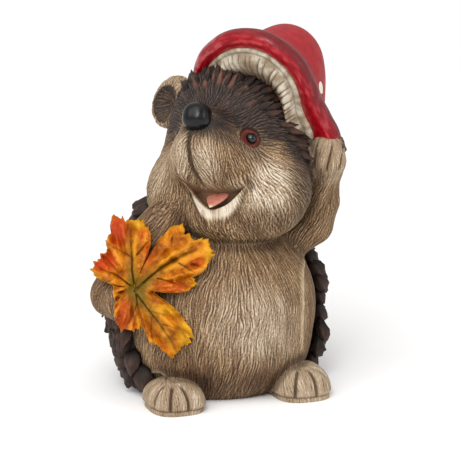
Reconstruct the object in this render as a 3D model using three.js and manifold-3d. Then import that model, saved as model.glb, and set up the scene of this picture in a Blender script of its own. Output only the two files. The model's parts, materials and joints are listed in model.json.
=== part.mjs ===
// A cast, hand-painted garden figurine: a hedgehog standing upright, head thrown up and to its right.
// It wears a toadstool cap, lifts its left paw to the brim and holds a maple leaf in its right.
// Millimetres, +Z up, belly towards -Y, the figure's left hand on +X. The origin is on the floor.
import * as THREE from "three";
import { mergeVertices } from "three/addons/utils/BufferGeometryUtils.js";
import Module from "manifold-3d";

const wasm = await Module();
wasm.setup();

// ---------------------------------------------------------------- driving dimensions
const GAP = 0.3; // clearance between neighbouring pieces
const CAST_BLEND = 6; // how softly the modelled masses run into each other

// Masses are [centre, radii].
const BELLY = [[0, -1, 64], [75, 69, 67]];
const CHEST = [[9, 15, 114], [62, 46, 44]];
const HIPS = [[3, 0, 30], [69, 65, 44]];
const FLOOR = { start: [0, 0, 0], towards: [0, 0, 1] }; // what stands on the floor is cut flat by this plane

const NAPE = [[18, 26, 134], [36, 38, 46]]; // fills the coat of spines between shoulders and head
const SPINE_DEPTH = 14; // the coat of spines stands this far off the cast body
const SPINE_FLOOR = 9; // its lowest row clears the floor
const BODY_SPINES = { start: [0, -22, 50], towards: [0, 1, -0.28] }; // the coat lies behind this plane

const HEAD = { centre: [15.7, -4.4, 181.6], yaw: -45.9, pitch: -29.1, roll: -5 }; // degrees
// The head's own frame: its left on +X, its nose towards -Y, its crown on +Z.
const SKULL = [[0, 4, -10], [58, 49, 62]];
const CROWN = [[-3, -8, 20], [48, 44, 53]];
const CHEEK = [[34, -6, -32], [31, 31, 32]];
const BRIDGE = [[0, -50, 2], [24, 32, 17]];
const LIP = [[10, -52, -22], [15, 26, 21]];
const MOUTH = [[0, -42, -49], [25, 20, 12]];
const SNOUT_REACH = [[0, -66, -10], [34, 36, 44]];
const JAW_REACH = [[0, -32, -68], [30, 30, 21]];
const TONGUE = [[0, -30, -49], [10, 13, 4]];
const EYE = { across: { left: 30.4, right: -22 }, up: -2.8, radius: 4.2, proud: 2.4 };
const NOSE = [[0, -77.6, 2.8], [11, 12, 11]];
const EAR = { centre: [-54, -13, 41], radii: [19, 8, 21], turn: -17, hollow: [12, 6, 14] };
const HEAD_SPINE_DEPTH = 9;
const HEAD_SPINES = { start: [27, 18, 179], towards: [0.45, 0.88, -0.1] }; // they lie behind this plane

const CAP = { centre: [35.2, -11.4, 225.9], brim: 58, height: 79 };
const FULLER = { at: 88, spread: 44, out: 9 }; // the brim's roll is fatter on this side, in degrees and mm
const PAD = { at: 62, spread: 50, drop: 9.5, radius: 33, width: 12.5 }; // the gills swell down over the brow
const CAP_AXIS = [0.704, 0.503, 0.503]; // square to the brim
const DOME_AXIS = [0.65, 0.52, 0.56]; // the dome leans a little back from it
const BRIM_FRONT = [0.1, -0.77, 0.63]; // towards the frontmost point of the brim
// How far the brim stands out, by angle round the axis from its frontmost point.
const BRIM_REACH = [
  [-180, 54], [-113, 54], [-75, 53], [-40, 57], [-20, 59], [0, 55], [26, 47], [50, 43], [66, 46],
  [82, 56], [100, 58], [140, 55], [180, 54],
];

const ARM_LEFT = [[56, -6, 112, 18], [75, -18, 126, 15.5], [78, -28, 146, 13.5], [78, -34, 168, 11.5]];
const PAW_LEFT = [[78, -37, 173, 12.5], [77, -40, 180, 14.5], [76, -43, 189, 13]];
const ARM_RIGHT = [[-46, -14, 133, 18], [-68, -6, 110, 17.5], [-86, -8, 80, 16.5], [-83, -20, 77, 14]];
const PAW_RIGHT = [[-83, -22, 78, 13], [-78, -24, 82, 13], [-71, -29, 85, 11]]; // [x, y, z, radius]

// The leaf faces front and right; its own frame is [across, up, out] from the hub where its veins meet.
const LEAF = { hub: [-80, -43, 94], yaw: -20, rise: 12, thick: 9 };
// How far its edge reaches from the hub, by angle anticlockwise from straight across.
const LEAF_EDGE = [
  [-180, 14], [-143, 16], [-131, 21], [-116, 31], [-106, 35], [-95, 32], [-90, 35], [-78, 30], [-74, 44],
  [-69, 46], [-66, 53], [-62, 60], [-47, 60], [-39, 58], [-35, 51], [-28, 35], [-26, 32], [-20, 18],
  [-13, 15], [-9, 28], [-5, 40], [0, 44], [3, 47], [8, 44], [11, 51], [16, 57], [21, 64], [29, 65],
  [33, 66], [38, 57],
  [43, 58], [47, 56], [52, 59], [57, 54], [61, 45], [69, 35], [76, 45], [84, 50], [93, 50], [105, 56],
  [111, 51], [114, 44], [119, 44], [122, 40], [126, 34], [142, 34], [150, 36], [158, 35], [164, 32],
  [170, 22], [175, 15], [180, 14],
];

const FOOT_LEFT = [[50.5, -51.5, 0], [21.5, 25, 22.5]];
const FOOT_RIGHT = [[-51.5, -51.5, 0], [20.5, 25, 19.5]];

const COLOURS = {
  fur: 0x8f775c,
  pale: 0xc9bca6,
  spines: 0x3b2c27,
  nose: 0x17171a,
  eye: 0x060607,
  tongue: 0xc06a5c,
  cap: 0xa80f22,
  gills: 0xcbbda2,
  leaf: 0xd97a16,
};

const degrees = THREE.MathUtils.degToRad;
const vec = (a) => new THREE.Vector3(...a);

// ---------------------------------------------------------------- fields: soft masses of clay
// Each field gives a signed distance, in mm, that is negative inside.
function ellipsoid(centre, radii) {
  const c = vec(centre);
  const r = vec(radii);
  return (p) => {
    const q = p.clone().sub(c).divide(r);
    const near = q.length();
    const steep = q.divide(r).length();
    return steep < 1e-9 ? -Math.min(...radii) : (near * (near - 1)) / steep;
  };
}

// A mass with fuller shoulders than an ellipsoid.
function boxy([centre, radii]) {
  const c = vec(centre);
  const r = vec(radii);
  const power = 2.8;
  return (p) => {
    const q = p.clone().sub(c).divide(r);
    const near = Math.abs(q.x) ** power + Math.abs(q.y) ** power + Math.abs(q.z) ** power;
    return (near ** (1 / power) - 1) * Math.min(...radii);
  };
}

// A rod with round ends between two stations, each [x, y, z, radius].
function rod([ax, ay, az, ra], [bx, by, bz, rb]) {
  const line = new THREE.Line3(vec([ax, ay, az]), vec([bx, by, bz]));
  const near = new THREE.Vector3();
  return (p) => {
    const t = line.closestPointToPointParameter(p, true);
    return line.at(t, near).distanceTo(p) - THREE.MathUtils.lerp(ra, rb, t);
  };
}

function blend(fields, softness = CAST_BLEND) {
  return (p) => {
    const d = fields.map((field) => field(p));
    const least = Math.min(...d);
    const sum = d.reduce((total, x) => total + Math.exp((least - x) / softness), 0);
    return least - softness * Math.log(sum);
  };
}

const above = (height, field) => (p) => Math.max(field(p), height - p.z);

// ---------------------------------------------------------------- surfaces
// A sphere whose vertices slide out from a centre until they meet the field's surface.
function shellOf(field, centre, columns, rows, { grow = 0, reach = 160, pole = "y" } = {}) {
  const sphere = new THREE.SphereGeometry(1, columns, rows);
  if (pole === "z") sphere.rotateX(Math.PI / 2);
  const geometry = onlyPositions(sphere);
  const places = geometry.getAttribute("position");
  const from = vec(centre);
  const way = new THREE.Vector3();
  for (let i = 0; i < places.count; i++) {
    way.fromBufferAttribute(places, i).normalize();
    const t = firstCrossing((d) => field(from.clone().addScaledVector(way, d)) - grow, reach);
    places.setXYZ(i, from.x + way.x * t, from.y + way.y * t, from.z + way.z * t);
  }
  return geometry;
}

function firstCrossing(value, reach) {
  const stride = 3;
  let low = 0;
  while (low < reach && value(low + stride) < 0) low += stride;
  let high = low + stride;
  for (let i = 0; i < 18; i++) {
    const middle = (low + high) / 2;
    if (value(middle) < 0) low = middle;
    else high = middle;
  }
  return high;
}

function ball([centre, radii], grow, columns, rows) {
  const sphere = new THREE.SphereGeometry(1, columns, rows);
  return sphere.scale(...radii.map((r) => r + grow)).translate(...centre);
}

// Turns every face over, after a mirror has turned them inwards.
function flipped(geometry) {
  const index = geometry.index.array;
  for (let i = 0; i < index.length; i += 3) [index[i], index[i + 1]] = [index[i + 1], index[i]];
  return geometry;
}

function onlyPositions(geometry) {
  const bare = geometry.clone();
  for (const name of Object.keys(bare.attributes)) {
    if (name !== "position") bare.deleteAttribute(name);
  }
  return mergeVertices(bare, 1e-4);
}

// ---------------------------------------------------------------- solids: closed meshes that join and cut
function solid(geometry) {
  const merged = onlyPositions(geometry);
  return new wasm.Manifold(
    new wasm.Mesh({
      numProp: 3,
      vertProperties: new Float32Array(merged.getAttribute("position").array),
      triVerts: new Uint32Array(merged.index.array),
    }),
  );
}

function geometryOf(body) {
  const mesh = body.getMesh();
  const places = new Float32Array(mesh.numVert * 3);
  for (let i = 0; i < mesh.numVert; i++) {
    places.set(mesh.vertProperties.subarray(i * mesh.numProp, i * mesh.numProp + 3), i * 3);
  }
  const geometry = new THREE.BufferGeometry();
  geometry.setAttribute("position", new THREE.BufferAttribute(places, 3));
  geometry.setIndex(new THREE.BufferAttribute(new Uint32Array(mesh.triVerts), 1));
  geometry.computeVertexNormals();
  return geometry;
}

// The space behind a plane, as a large block. The block starts a clearance before the plane.
function behind({ start, towards }, grow) {
  const size = 400;
  const block = new THREE.BoxGeometry(size, size, size);
  block.translate(0, 0, size / 2 - grow);
  const up = new THREE.Vector3(0, 0, 1);
  block.applyQuaternion(new THREE.Quaternion().setFromUnitVectors(up, vec(towards).normalize()));
  block.translate(...start);
  return solid(block);
}

function largest(body) {
  return body.decompose().reduce((a, b) => (a.volume() > b.volume() ? a : b));
}

const group = new THREE.Group();
function add(name, body, colour, roughness = 0.75) {
  const material = new THREE.MeshStandardMaterial({ color: colour, roughness, metalness: 0 });
  const mesh = new THREE.Mesh(geometryOf(largest(body)), material);
  mesh.name = name;
  group.add(mesh);
}

// ---------------------------------------------------------------- head
const headTurn = new THREE.Quaternion().setFromEuler(
  new THREE.Euler(degrees(HEAD.pitch), degrees(HEAD.roll), degrees(HEAD.yaw), "ZXY"),
);
const headFrame = new THREE.Matrix4().compose(vec(HEAD.centre), headTurn, new THREE.Vector3(1, 1, 1));
const headFrameBack = headFrame.clone().invert();
const inHead = (geometry) => geometry.applyMatrix4(headFrame);

function twoSided([[x, y, z], radii]) {
  return [ellipsoid([x, y, z], radii), ellipsoid([-x, y, z], radii)];
}

const headField = blend([
  ellipsoid(...SKULL),
  ellipsoid(...CROWN),
  ellipsoid(...BRIDGE),
  ...twoSided(CHEEK),
  ...twoSided(LIP),
]);
const HEAD_MIDDLE = [0, -14, -10];
const headSolid = (grow) => solid(inHead(shellOf(headField, HEAD_MIDDLE, 20, 16, { grow })));
const headMass = (mass, grow, columns = 12, rows = 8) => solid(inHead(ball(mass, grow, columns, rows)));

// The eye beads sit in the face with their fronts standing proud of it.

function eye(across, grow) {
  const spot = new THREE.Vector3(across, 0, EYE.up);
  const depth = firstCrossing((d) => headField(spot.clone().setY(-d)), 160) + EYE.proud - EYE.radius;
  const bead = [EYE.radius, EYE.radius, EYE.radius];
  return headMass([[across, -depth, EYE.up], bead], grow, 8, 6);
}

function earBody(grow) {
  const lobe = ball([[0, 0, 0], EAR.radii], grow, 14, 8);
  return solid(inHead(lobe.rotateZ(degrees(EAR.turn)).translate(...EAR.centre)));
}

function earHollow() {
  const bowl = ball([[-4, -EAR.radii[1], -3], EAR.hollow], 0, 8, 6);
  return solid(inHead(bowl.rotateZ(degrees(EAR.turn)).translate(...EAR.centre)));
}

function buildHead() {
  const carved = less(headSolid(0), "mouth", "nose", "tongue", "eye_left", "eye_right", "ear_right");
  add("head", less(carved, "snout_reach", "jaw_reach"), COLOURS.fur);
  add("snout", carved.intersect(shapes.snout_reach(0)), COLOURS.pale);
  add("lower_jaw", less(carved.intersect(shapes.jaw_reach(0)), "snout_reach"), COLOURS.pale);
  add("tongue", shapes.tongue(0), COLOURS.tongue);
  add("nose", shapes.nose(0), COLOURS.nose, 0.3);
  add("eye_left", shapes.eye_left(0), COLOURS.eye, 0.05);
  add("eye_right", shapes.eye_right(0), COLOURS.eye, 0.05);
  add("ear_right", shapes.ear_right(0).subtract(earHollow()), COLOURS.fur);
}

// ---------------------------------------------------------------- toadstool cap
const capAxis = vec(CAP_AXIS).normalize();
const domeAxis = vec(DOME_AXIS).normalize();
const capSide = new THREE.Vector3().crossVectors(capAxis, vec(BRIM_FRONT)).normalize();
const capFront = new THREE.Vector3().crossVectors(capSide, capAxis);

const ROLL_TOP = CAP.brim - 12;
const CAP_PROFILE = [
  [0, 6], [30, 6], [CAP.brim - 11, 4], [CAP.brim - 7, -3], [CAP.brim - 3, -6.6], [CAP.brim + 2, -7.2],
  [CAP.brim + 6.4, -3.8], [CAP.brim + 7.5, 1], [CAP.brim + 4, 6.4], [CAP.brim - 3, 8], [ROLL_TOP, 7.2],
  [ROLL_TOP - 4, 9], [ROLL_TOP - 8, 15], [35, 25], [31, 38], [27, 53], [21, 66], [12, 75], [0, CAP.height],
];
const GILL_PROFILE = [
  [0, -1], [20, -2.4], [38, -5.4], [46, -6.4], [50.6, -4.6], [51, -2], [CAP.brim - 11.6, 3.6],
  [30, 5.6], [0, 5.6],
];

function reachAt(table, angle) {
  const next = table.findIndex(([a]) => a >= angle);
  if (next <= 0) return table[0][1];
  const [a0, r0] = table[next - 1];
  const [a1, r1] = table[next];
  return THREE.MathUtils.lerp(r0, r1, THREE.MathUtils.smoothstep(angle, a0, a1));
}

// A profile of [radius, height] pairs turned round the cap's axis, then stretched to the brim's reach.
const hump = (value, spread) => Math.exp(-((value / spread) ** 2));

function turned(profile, columns, rows, grow = 0, padded = 0) {
  const path = new THREE.CurvePath();
  for (let i = 1; i < profile.length; i++) {
    path.add(new THREE.LineCurve(new THREE.Vector2(...profile[i - 1]), new THREE.Vector2(...profile[i])));
  }
  const geometry = onlyPositions(new THREE.SphereGeometry(1, columns, rows));
  const places = geometry.getAttribute("position");
  for (let i = 0; i < places.count; i++) {
    const unit = new THREE.Vector3().fromBufferAttribute(places, i).normalize();
    const v = 1 - Math.acos(THREE.MathUtils.clamp(unit.y, -1, 1)) / Math.PI;
    const spot = path.getPoint(v);
    const edge = path.getTangent(Math.min(0.999, Math.max(0.001, v)));
    const radius = Math.max(0, spot.x + (v > 0.001 && v < 0.999 ? edge.y * grow : 0));
    const height = spot.y + (v < 0.001 ? -grow : v > 0.999 ? grow : -edge.x * grow);
    const turn = Math.atan2(-unit.z, unit.x);
    const stretch = reachAt(BRIM_REACH, THREE.MathUtils.radToDeg(turn)) / CAP.brim;
    const angle = THREE.MathUtils.radToDeg(turn);
    const fuller = FULLER.out * hump(angle - FULLER.at, FULLER.spread) * THREE.MathUtils.smoothstep(radius, 50, 62);
    const out = radius * THREE.MathUtils.lerp(1, stretch, THREE.MathUtils.smoothstep(radius, 20, 50)) + fuller;
    const swell = (2.5 + PAD.drop * hump(angle - PAD.at, PAD.spread)) * hump(radius - PAD.radius, PAD.width);
    const drop = padded * swell * (1 - THREE.MathUtils.smoothstep(height, -1, 2));
    const lean = THREE.MathUtils.smoothstep(height, 6, 40);
    const axis = capAxis.clone().lerp(domeAxis, lean).normalize();
    const at = vec(CAP.centre).addScaledVector(axis, height - drop);
    at.addScaledVector(capFront, Math.cos(turn) * out).addScaledVector(capSide, Math.sin(turn) * out);
    places.setXYZ(i, at.x, at.y, at.z);
  }
  return geometry;
}

// ---------------------------------------------------------------- trunk
const trunkField = blend([ellipsoid(...BELLY), ellipsoid(...CHEST), ellipsoid(...HIPS)]);
const TRUNK_MIDDLE = [0, 0, 80];

function trunkSolid(grow) {
  const shell = solid(shellOf(trunkField, TRUNK_MIDDLE, 22, 16, { grow, pole: "z" }));
  return shell.intersect(behind(FLOOR, 0));
}

function footBody(foot, grow) {
  const geometry = shellOf(boxy(foot), foot[0], 15, 11, { grow, pole: "z" });
  return solid(geometry).intersect(behind(FLOOR, 0));
}

// ---------------------------------------------------------------- arms and paws
// A limb is a chain of rods run together, drawn out from the middle one.
function limbSolid(stations, grow) {
  const rods = stations.slice(1).map((station, i) => rod(stations[i], station));
  const [x, y, z] = stations[Math.floor(stations.length / 2)];
  return solid(shellOf(blend(rods, 3), [x, y, z], 12, 9, { grow, pole: "z" }));
}

// ---------------------------------------------------------------- maple leaf
// A disc of rings stretched out to the leaf's edge, front and back, and curled over the belly.
function leafBody(grow) {
  const geometry = onlyPositions(new THREE.SphereGeometry(1, 68, 5));
  const places = geometry.getAttribute("position");
  const turn = new THREE.Matrix4().makeRotationZ(degrees(LEAF.yaw));
  turn.multiply(new THREE.Matrix4().makeRotationX(-degrees(LEAF.rise)));
  for (let i = 0; i < places.count; i++) {
    const unit = new THREE.Vector3().fromBufferAttribute(places, i).normalize();
    const angle = Math.atan2(-unit.z, unit.x);
    const out = Math.min(1, Math.sqrt(1 - unit.y * unit.y) / Math.sin(Math.PI * 0.4));
    const reach = (reachAt(LEAF_EDGE, THREE.MathUtils.radToDeg(angle)) + grow) * out;
    const a = Math.cos(angle) * reach;
    const b = Math.sin(angle) * reach;
    const curl = 0.2 * a - 0.002 * a * a - 0.0035 * b * b;
    const side = Math.abs(unit.y) < 0.3 ? 0 : Math.sign(unit.y);
    const depth = LEAF.thick / 2 - side * (LEAF.thick / 2 + grow);
    const at = new THREE.Vector3(a, depth - curl, b).applyMatrix4(turn).add(vec(LEAF.hub));
    places.setXYZ(i, at.x, at.y, at.z);
  }
  return solid(geometry);
}

// ---------------------------------------------------------------- spines: the coat over the back
function bodySpines(grow) {
  const field = above(SPINE_FLOOR + SPINE_DEPTH, blend([trunkField, ellipsoid(...NAPE)]));
  const shell = solid(shellOf(field, TRUNK_MIDDLE, 18, 14, { grow: SPINE_DEPTH + grow, pole: "z" }));
  return shell.intersect(behind(BODY_SPINES, grow));
}

function headSpines(grow) {
  const shell = solid(inHead(shellOf(headField, HEAD_MIDDLE, 16, 12, { grow: HEAD_SPINE_DEPTH + grow })));
  return shell.intersect(behind(HEAD_SPINES, grow));
}

// ---------------------------------------------------------------- the pieces
// Every whole shape, drawn at its own size plus a clearance, so that a neighbour can be cut clear of it.
const shapes = {
  head: headSolid,
  mouth: (grow) => headMass(MOUTH, grow),
  snout_reach: (grow) => headMass(SNOUT_REACH, grow),
  jaw_reach: (grow) => headMass(JAW_REACH, grow),
  tongue: (grow) => headMass(TONGUE, grow, 10, 8),
  nose: (grow) => headMass(NOSE, grow),
  eye_left: (grow) => eye(EYE.across.left, grow),
  eye_right: (grow) => eye(EYE.across.right, grow),
  ear_right: earBody,
  cap: (grow) => solid(turned(CAP_PROFILE, 23, 20, grow)),
  cap_gills: (grow) => solid(turned(GILL_PROFILE, 20, 11, grow, 1)),
  trunk: trunkSolid,
  foot_left: (grow) => footBody(FOOT_LEFT, grow),
  foot_right: (grow) => footBody(FOOT_RIGHT, grow),
  arm_left: (grow) => limbSolid(ARM_LEFT, grow),
  arm_right: (grow) => limbSolid(ARM_RIGHT, grow),
  paw_left: (grow) => limbSolid(PAW_LEFT, grow),
  paw_right: (grow) => limbSolid(PAW_RIGHT, grow),
  maple_leaf: leafBody,
  spines_head: headSpines,
};

const less = (body, ...names) => names.reduce((left, name) => left.subtract(shapes[name](GAP)), body);

function buildRest() {
  add("cap", less(shapes.cap(0), "head", "cap_gills"), COLOURS.cap, 0.35);
  add("cap_gills", less(shapes.cap_gills(0), "head"), COLOURS.gills);
  add("trunk", less(shapes.trunk(0), "head", "foot_left", "foot_right"), COLOURS.fur);
  add("foot_left", shapes.foot_left(0), COLOURS.fur);
  add("foot_right", shapes.foot_right(0), COLOURS.fur);
  add("arm_left", less(shapes.arm_left(0), "trunk", "head", "cap", "paw_left"), COLOURS.fur);
  add("arm_right", less(shapes.arm_right(0), "trunk", "head", "paw_right"), COLOURS.fur);
  add("paw_left", less(shapes.paw_left(0), "trunk", "head", "cap", "cap_gills"), COLOURS.pale);
  add("paw_right", less(shapes.paw_right(0), "trunk", "head"), COLOURS.pale);
  const leaf = less(shapes.maple_leaf(0), "trunk", "head", "arm_right", "paw_right");
  add("maple_leaf", leaf, COLOURS.leaf, 0.5);
  const limbs = ["arm_left", "arm_right", "paw_left", "paw_right", "maple_leaf"];
  const onHead = less(shapes.spines_head(0), "head", "trunk", "cap", "cap_gills", "ear_right", ...limbs);
  const onBody = less(bodySpines(0), "trunk", "head", "spines_head", "foot_left", "foot_right", ...limbs);
  add("spines_head", onHead, COLOURS.spines);
  add("spines_body", onBody, COLOURS.spines);
}

buildHead();
buildRest();

export default group;
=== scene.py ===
# %% [markdown]
# # A laughing hedgehog, cast in resin and painted by hand
#
# The real object is a hollow resin casting, about 28 cm high, that stands in a garden. One modeller
# pressed and carved it in clay, a mould took its shape, and a painter brushed a dark wash into the
# carved fur and dragged nearly dry cream paint over the ridges. This lesson follows the same order:
# masses of clay, carving, then paint.
#
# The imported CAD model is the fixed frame. It says where every piece is and how big it is. The looks
# are built around it, in the same place and size.

# %% Load the frame
import json
import math

import bpy
import numpy as np
from mathutils import Matrix, Vector
from mathutils.bvhtree import BVHTree

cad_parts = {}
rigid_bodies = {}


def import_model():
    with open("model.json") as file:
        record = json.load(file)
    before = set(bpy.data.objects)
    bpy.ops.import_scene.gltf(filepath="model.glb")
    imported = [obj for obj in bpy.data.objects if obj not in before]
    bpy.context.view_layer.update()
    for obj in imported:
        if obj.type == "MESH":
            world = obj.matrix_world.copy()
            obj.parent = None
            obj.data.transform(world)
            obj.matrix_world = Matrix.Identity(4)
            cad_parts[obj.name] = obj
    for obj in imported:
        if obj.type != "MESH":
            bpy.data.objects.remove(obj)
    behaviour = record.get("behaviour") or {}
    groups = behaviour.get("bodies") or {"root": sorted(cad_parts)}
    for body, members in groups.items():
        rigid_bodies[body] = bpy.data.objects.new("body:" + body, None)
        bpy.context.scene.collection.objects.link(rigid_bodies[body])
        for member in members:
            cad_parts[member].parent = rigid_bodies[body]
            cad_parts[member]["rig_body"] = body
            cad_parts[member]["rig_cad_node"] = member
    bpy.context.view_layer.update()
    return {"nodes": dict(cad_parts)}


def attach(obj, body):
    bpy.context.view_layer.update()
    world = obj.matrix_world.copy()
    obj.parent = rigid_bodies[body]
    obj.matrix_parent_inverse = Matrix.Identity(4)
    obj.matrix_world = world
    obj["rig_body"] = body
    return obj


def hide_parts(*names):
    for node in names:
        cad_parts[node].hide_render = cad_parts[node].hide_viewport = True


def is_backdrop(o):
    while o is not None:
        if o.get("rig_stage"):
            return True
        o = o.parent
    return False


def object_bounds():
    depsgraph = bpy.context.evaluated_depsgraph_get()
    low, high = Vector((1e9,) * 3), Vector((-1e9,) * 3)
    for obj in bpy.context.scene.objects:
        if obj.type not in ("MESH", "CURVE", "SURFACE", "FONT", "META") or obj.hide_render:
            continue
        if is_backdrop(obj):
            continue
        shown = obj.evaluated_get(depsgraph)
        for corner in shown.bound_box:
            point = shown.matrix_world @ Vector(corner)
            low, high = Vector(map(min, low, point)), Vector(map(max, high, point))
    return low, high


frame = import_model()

# %% [markdown]
# ## The camera, the floor and the light
#
# The figure is seen from a little above and from its own right side, from far enough away that it
# hardly tapers. Two area lamps stand in for the softboxes of a product studio, one above and to the
# left and a weaker one to the right. A very wide sun gives the soft shadow on the floor, and a pale
# world fills the rest. The floor is marked as stage, because it isn't part of the object.

# %% Set the stage
MM = 0.001
scene = bpy.context.scene
scene.view_settings.view_transform = "Standard"

AIM = Vector((11.0, -4.0, 123.0)) * MM  # the middle of the view
DISTANCE = 1.4  # metres
LENS = 140.5
TURN, RISE = math.radians(-20), math.radians(12)
away = Vector((math.sin(TURN) * math.cos(RISE), -math.cos(TURN) * math.cos(RISE), math.sin(RISE)))
SOFTBOXES = (  # name, place and size in metres, watts
    ("window", (-0.5, -0.9, 1.0), 0.45, 4.5),
    ("fill", (1.0, -0.9, 0.7), 0.5, 2.0),
)
SUN_AT, SUN_STRENGTH, SUN_WIDTH = Vector((-0.9, -0.8, 1.5)), 1.6, math.radians(60)
SKY_COLOUR, SKY_STRENGTH = (1.0, 0.99, 0.98, 1), 0.68


def looking(obj, place, target):
    """Stands a camera or a lamp at a place, and aims it."""
    obj.location = place
    obj.rotation_mode = "QUATERNION"
    obj.rotation_quaternion = (target - place).to_track_quat("-Z", "Y")
    scene.collection.objects.link(obj)
    return obj


camera = bpy.data.cameras.new("camera")
camera.lens = LENS
scene.camera = looking(bpy.data.objects.new("camera", camera), AIM + away * DISTANCE, AIM)
for name, place, size, watts in SOFTBOXES:
    lamp = bpy.data.lights.new(name, "AREA")
    lamp.size = size
    lamp.energy = watts
    looking(bpy.data.objects.new(name, lamp), Vector(place), AIM)
sun = bpy.data.lights.new("key", "SUN")
sun.energy = SUN_STRENGTH
sun.angle = SUN_WIDTH
looking(bpy.data.objects.new("key", sun), SUN_AT, AIM)
world = bpy.data.worlds.new("studio")
scene.world = world
world.use_nodes = True
background = world.node_tree.nodes["Background"]
background.inputs["Color"].default_value = SKY_COLOUR
background.inputs["Strength"].default_value = SKY_STRENGTH
print("camera at", [round(x, 3) for x in scene.camera.location])

# %% [markdown]
# ## Shader maths in plain words
#
# Every finish below is a procedural material. A `Wire` wraps one output of a node, and its operators
# add the Math nodes that the expression needs, so a mask can be written as `1 - groove * 0.5`.

# %% Wires between nodes


class Wire:
    """One output of a node, to reckon with."""

    def __init__(self, tree, socket):
        self.tree, self.socket = tree, socket

    def maths(self, operation, *others):
        node = self.tree.nodes.new("ShaderNodeMath")
        node.operation = operation
        for place, value in enumerate((self,) + others):
            put(self.tree, node.inputs[place], value)
        return Wire(self.tree, node.outputs[0])

    def __add__(self, other):
        return self.maths("ADD", other)

    __radd__ = __add__

    def __mul__(self, other):
        return self.maths("MULTIPLY", other)

    __rmul__ = __mul__

    def __sub__(self, other):
        return self.maths("SUBTRACT", other)

    def __rsub__(self, other):
        return (self * -1) + other

    def step(self, low, high):
        """0 below low, 1 above high, and a smooth rise between them."""
        node = self.tree.nodes.new("ShaderNodeMapRange")
        node.interpolation_type = "SMOOTHSTEP"
        put(self.tree, node.inputs["Value"], self)
        node.inputs["From Min"].default_value = low
        node.inputs["From Max"].default_value = high
        return Wire(self.tree, node.outputs[0])


def put(tree, socket, value):
    """Feeds a socket from a wire, a colour or a number."""
    if isinstance(value, Wire):
        tree.links.new(value.socket, socket)
    elif isinstance(value, (tuple, list)) and len(value) == 3 and socket.type == "RGBA":
        socket.default_value = (*value, 1.0)
    else:
        socket.default_value = value


def paint(red, green, blue):
    """A paint's colour from the usual 0 to 255 values."""
    return tuple(
        v / 255 / 12.92 if v < 10 else ((v / 255 + 0.055) / 1.055) ** 2.4 for v in (red, green, blue)
    )


class Finish:
    """A material under construction."""

    def __init__(self, name, roughness=0.6, **settings):
        self.material = bpy.data.materials.new(name)
        self.material.use_nodes = True
        self.tree = self.material.node_tree
        self.shader = self.tree.nodes["Principled BSDF"]
        self.set(Roughness=roughness, **settings)

    def set(self, **values):
        for name, value in values.items():
            put(self.tree, self.shader.inputs[name.replace("_", " ")], value)
        return self

    def node(self, kind, settings=None, output=0, **values):
        made = self.tree.nodes.new("ShaderNode" + kind)
        for name, value in (settings or {}).items():
            setattr(made, name, value)
        for name, value in values.items():
            put(self.tree, made.inputs[name.replace("_", " ")], value)
        return Wire(self.tree, made.outputs[output])

    def mixed(self, factor, low, high, blend="MIX"):
        """One colour where the factor is 0, and another where it is 1."""
        made = self.tree.nodes.new("ShaderNodeMix")
        made.data_type = "RGBA"
        made.blend_type = blend
        for place, value in ((0, factor), (6, low), (7, high)):
            put(self.tree, made.inputs[place], value)
        return Wire(self.tree, made.outputs[2])

    def layered(self, colour, *layers):
        """Lays paints over a colour. Each layer is its mask, its paint and, if it isn't MIX, its blend."""
        for mask, *rest in layers:
            colour = self.mixed(mask, colour, *rest)
        return colour

    def kept(self, name):
        """A value that the mesh keeps at each of its vertices."""
        return self.node("Attribute", {"attribute_name": name}, output=2)

    def kept_colour(self, name):
        return self.node("Attribute", {"attribute_name": name}, output=0)

    def place(self):
        return self.node("TexCoord", output=3)

    def noise(self, scale, detail=3.0, **values):
        return self.node("TexNoise", Vector=self.place(), Scale=scale, Detail=detail, **values)

    def bump(self, height, strength, distance):
        made = self.node("Bump", Height=height, Strength=strength, Distance=distance)
        return self.set(Normal=made)


print("shader words ready")

# %% Mesh helpers


def only(*objects):
    """Selects these objects and nothing else."""
    bpy.ops.object.select_all(action="DESELECT")
    for obj in objects:
        obj.select_set(True)
    bpy.context.view_layer.objects.active = objects[0]
    return objects[0]


def modified(obj, kind, **settings):
    """Adds one modifier and applies it."""
    only(obj)
    made = obj.modifiers.new(kind, kind)
    for name, value in settings.items():
        setattr(made, name, value)
    bpy.ops.object.modifier_apply(modifier=made.name)
    return obj


def editing(obj, *steps):
    """Runs the steps in edit mode, on all of the mesh."""
    only(obj)
    bpy.ops.object.mode_set(mode="EDIT")
    bpy.ops.mesh.select_all(action="SELECT")
    for step in steps:
        step()
    bpy.ops.object.mode_set(mode="OBJECT")
    return obj


def joined(objects, name):
    """Makes one mesh of several."""
    only(*objects)
    bpy.ops.object.join()
    obj = bpy.context.view_layer.objects.active
    obj.name = obj.data.name = name
    return obj


def copy_of(name):
    """A loose copy of a CAD node, with its corners merged."""
    node = frame["nodes"][name]
    piece = node.copy()
    piece.data = node.data.copy()
    piece.data.materials.clear()
    piece.parent = None
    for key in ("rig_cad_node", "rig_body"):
        del piece[key]
    scene.collection.objects.link(piece)
    return editing(piece, lambda: bpy.ops.mesh.remove_doubles(threshold=2e-6))


def numbers(items, field, width):
    """One field of a mesh's corners, faces or loops, as rows of numbers."""
    values = np.empty(len(items) * width, np.float32)
    items.foreach_get(field, values)
    return values.reshape(-1, width)


def corners(obj):
    """A mesh's vertices, in millimetres."""
    return numbers(obj.data.vertices, "co", 3) / MM


def move_corners(obj, places):
    obj.data.vertices.foreach_set("co", (places * MM).astype(np.float32).ravel())
    obj.data.update()


def upright(obj):
    """Which way each vertex of a mesh faces."""
    return numbers(obj.data.vertex_normals, "vector", 3)


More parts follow.
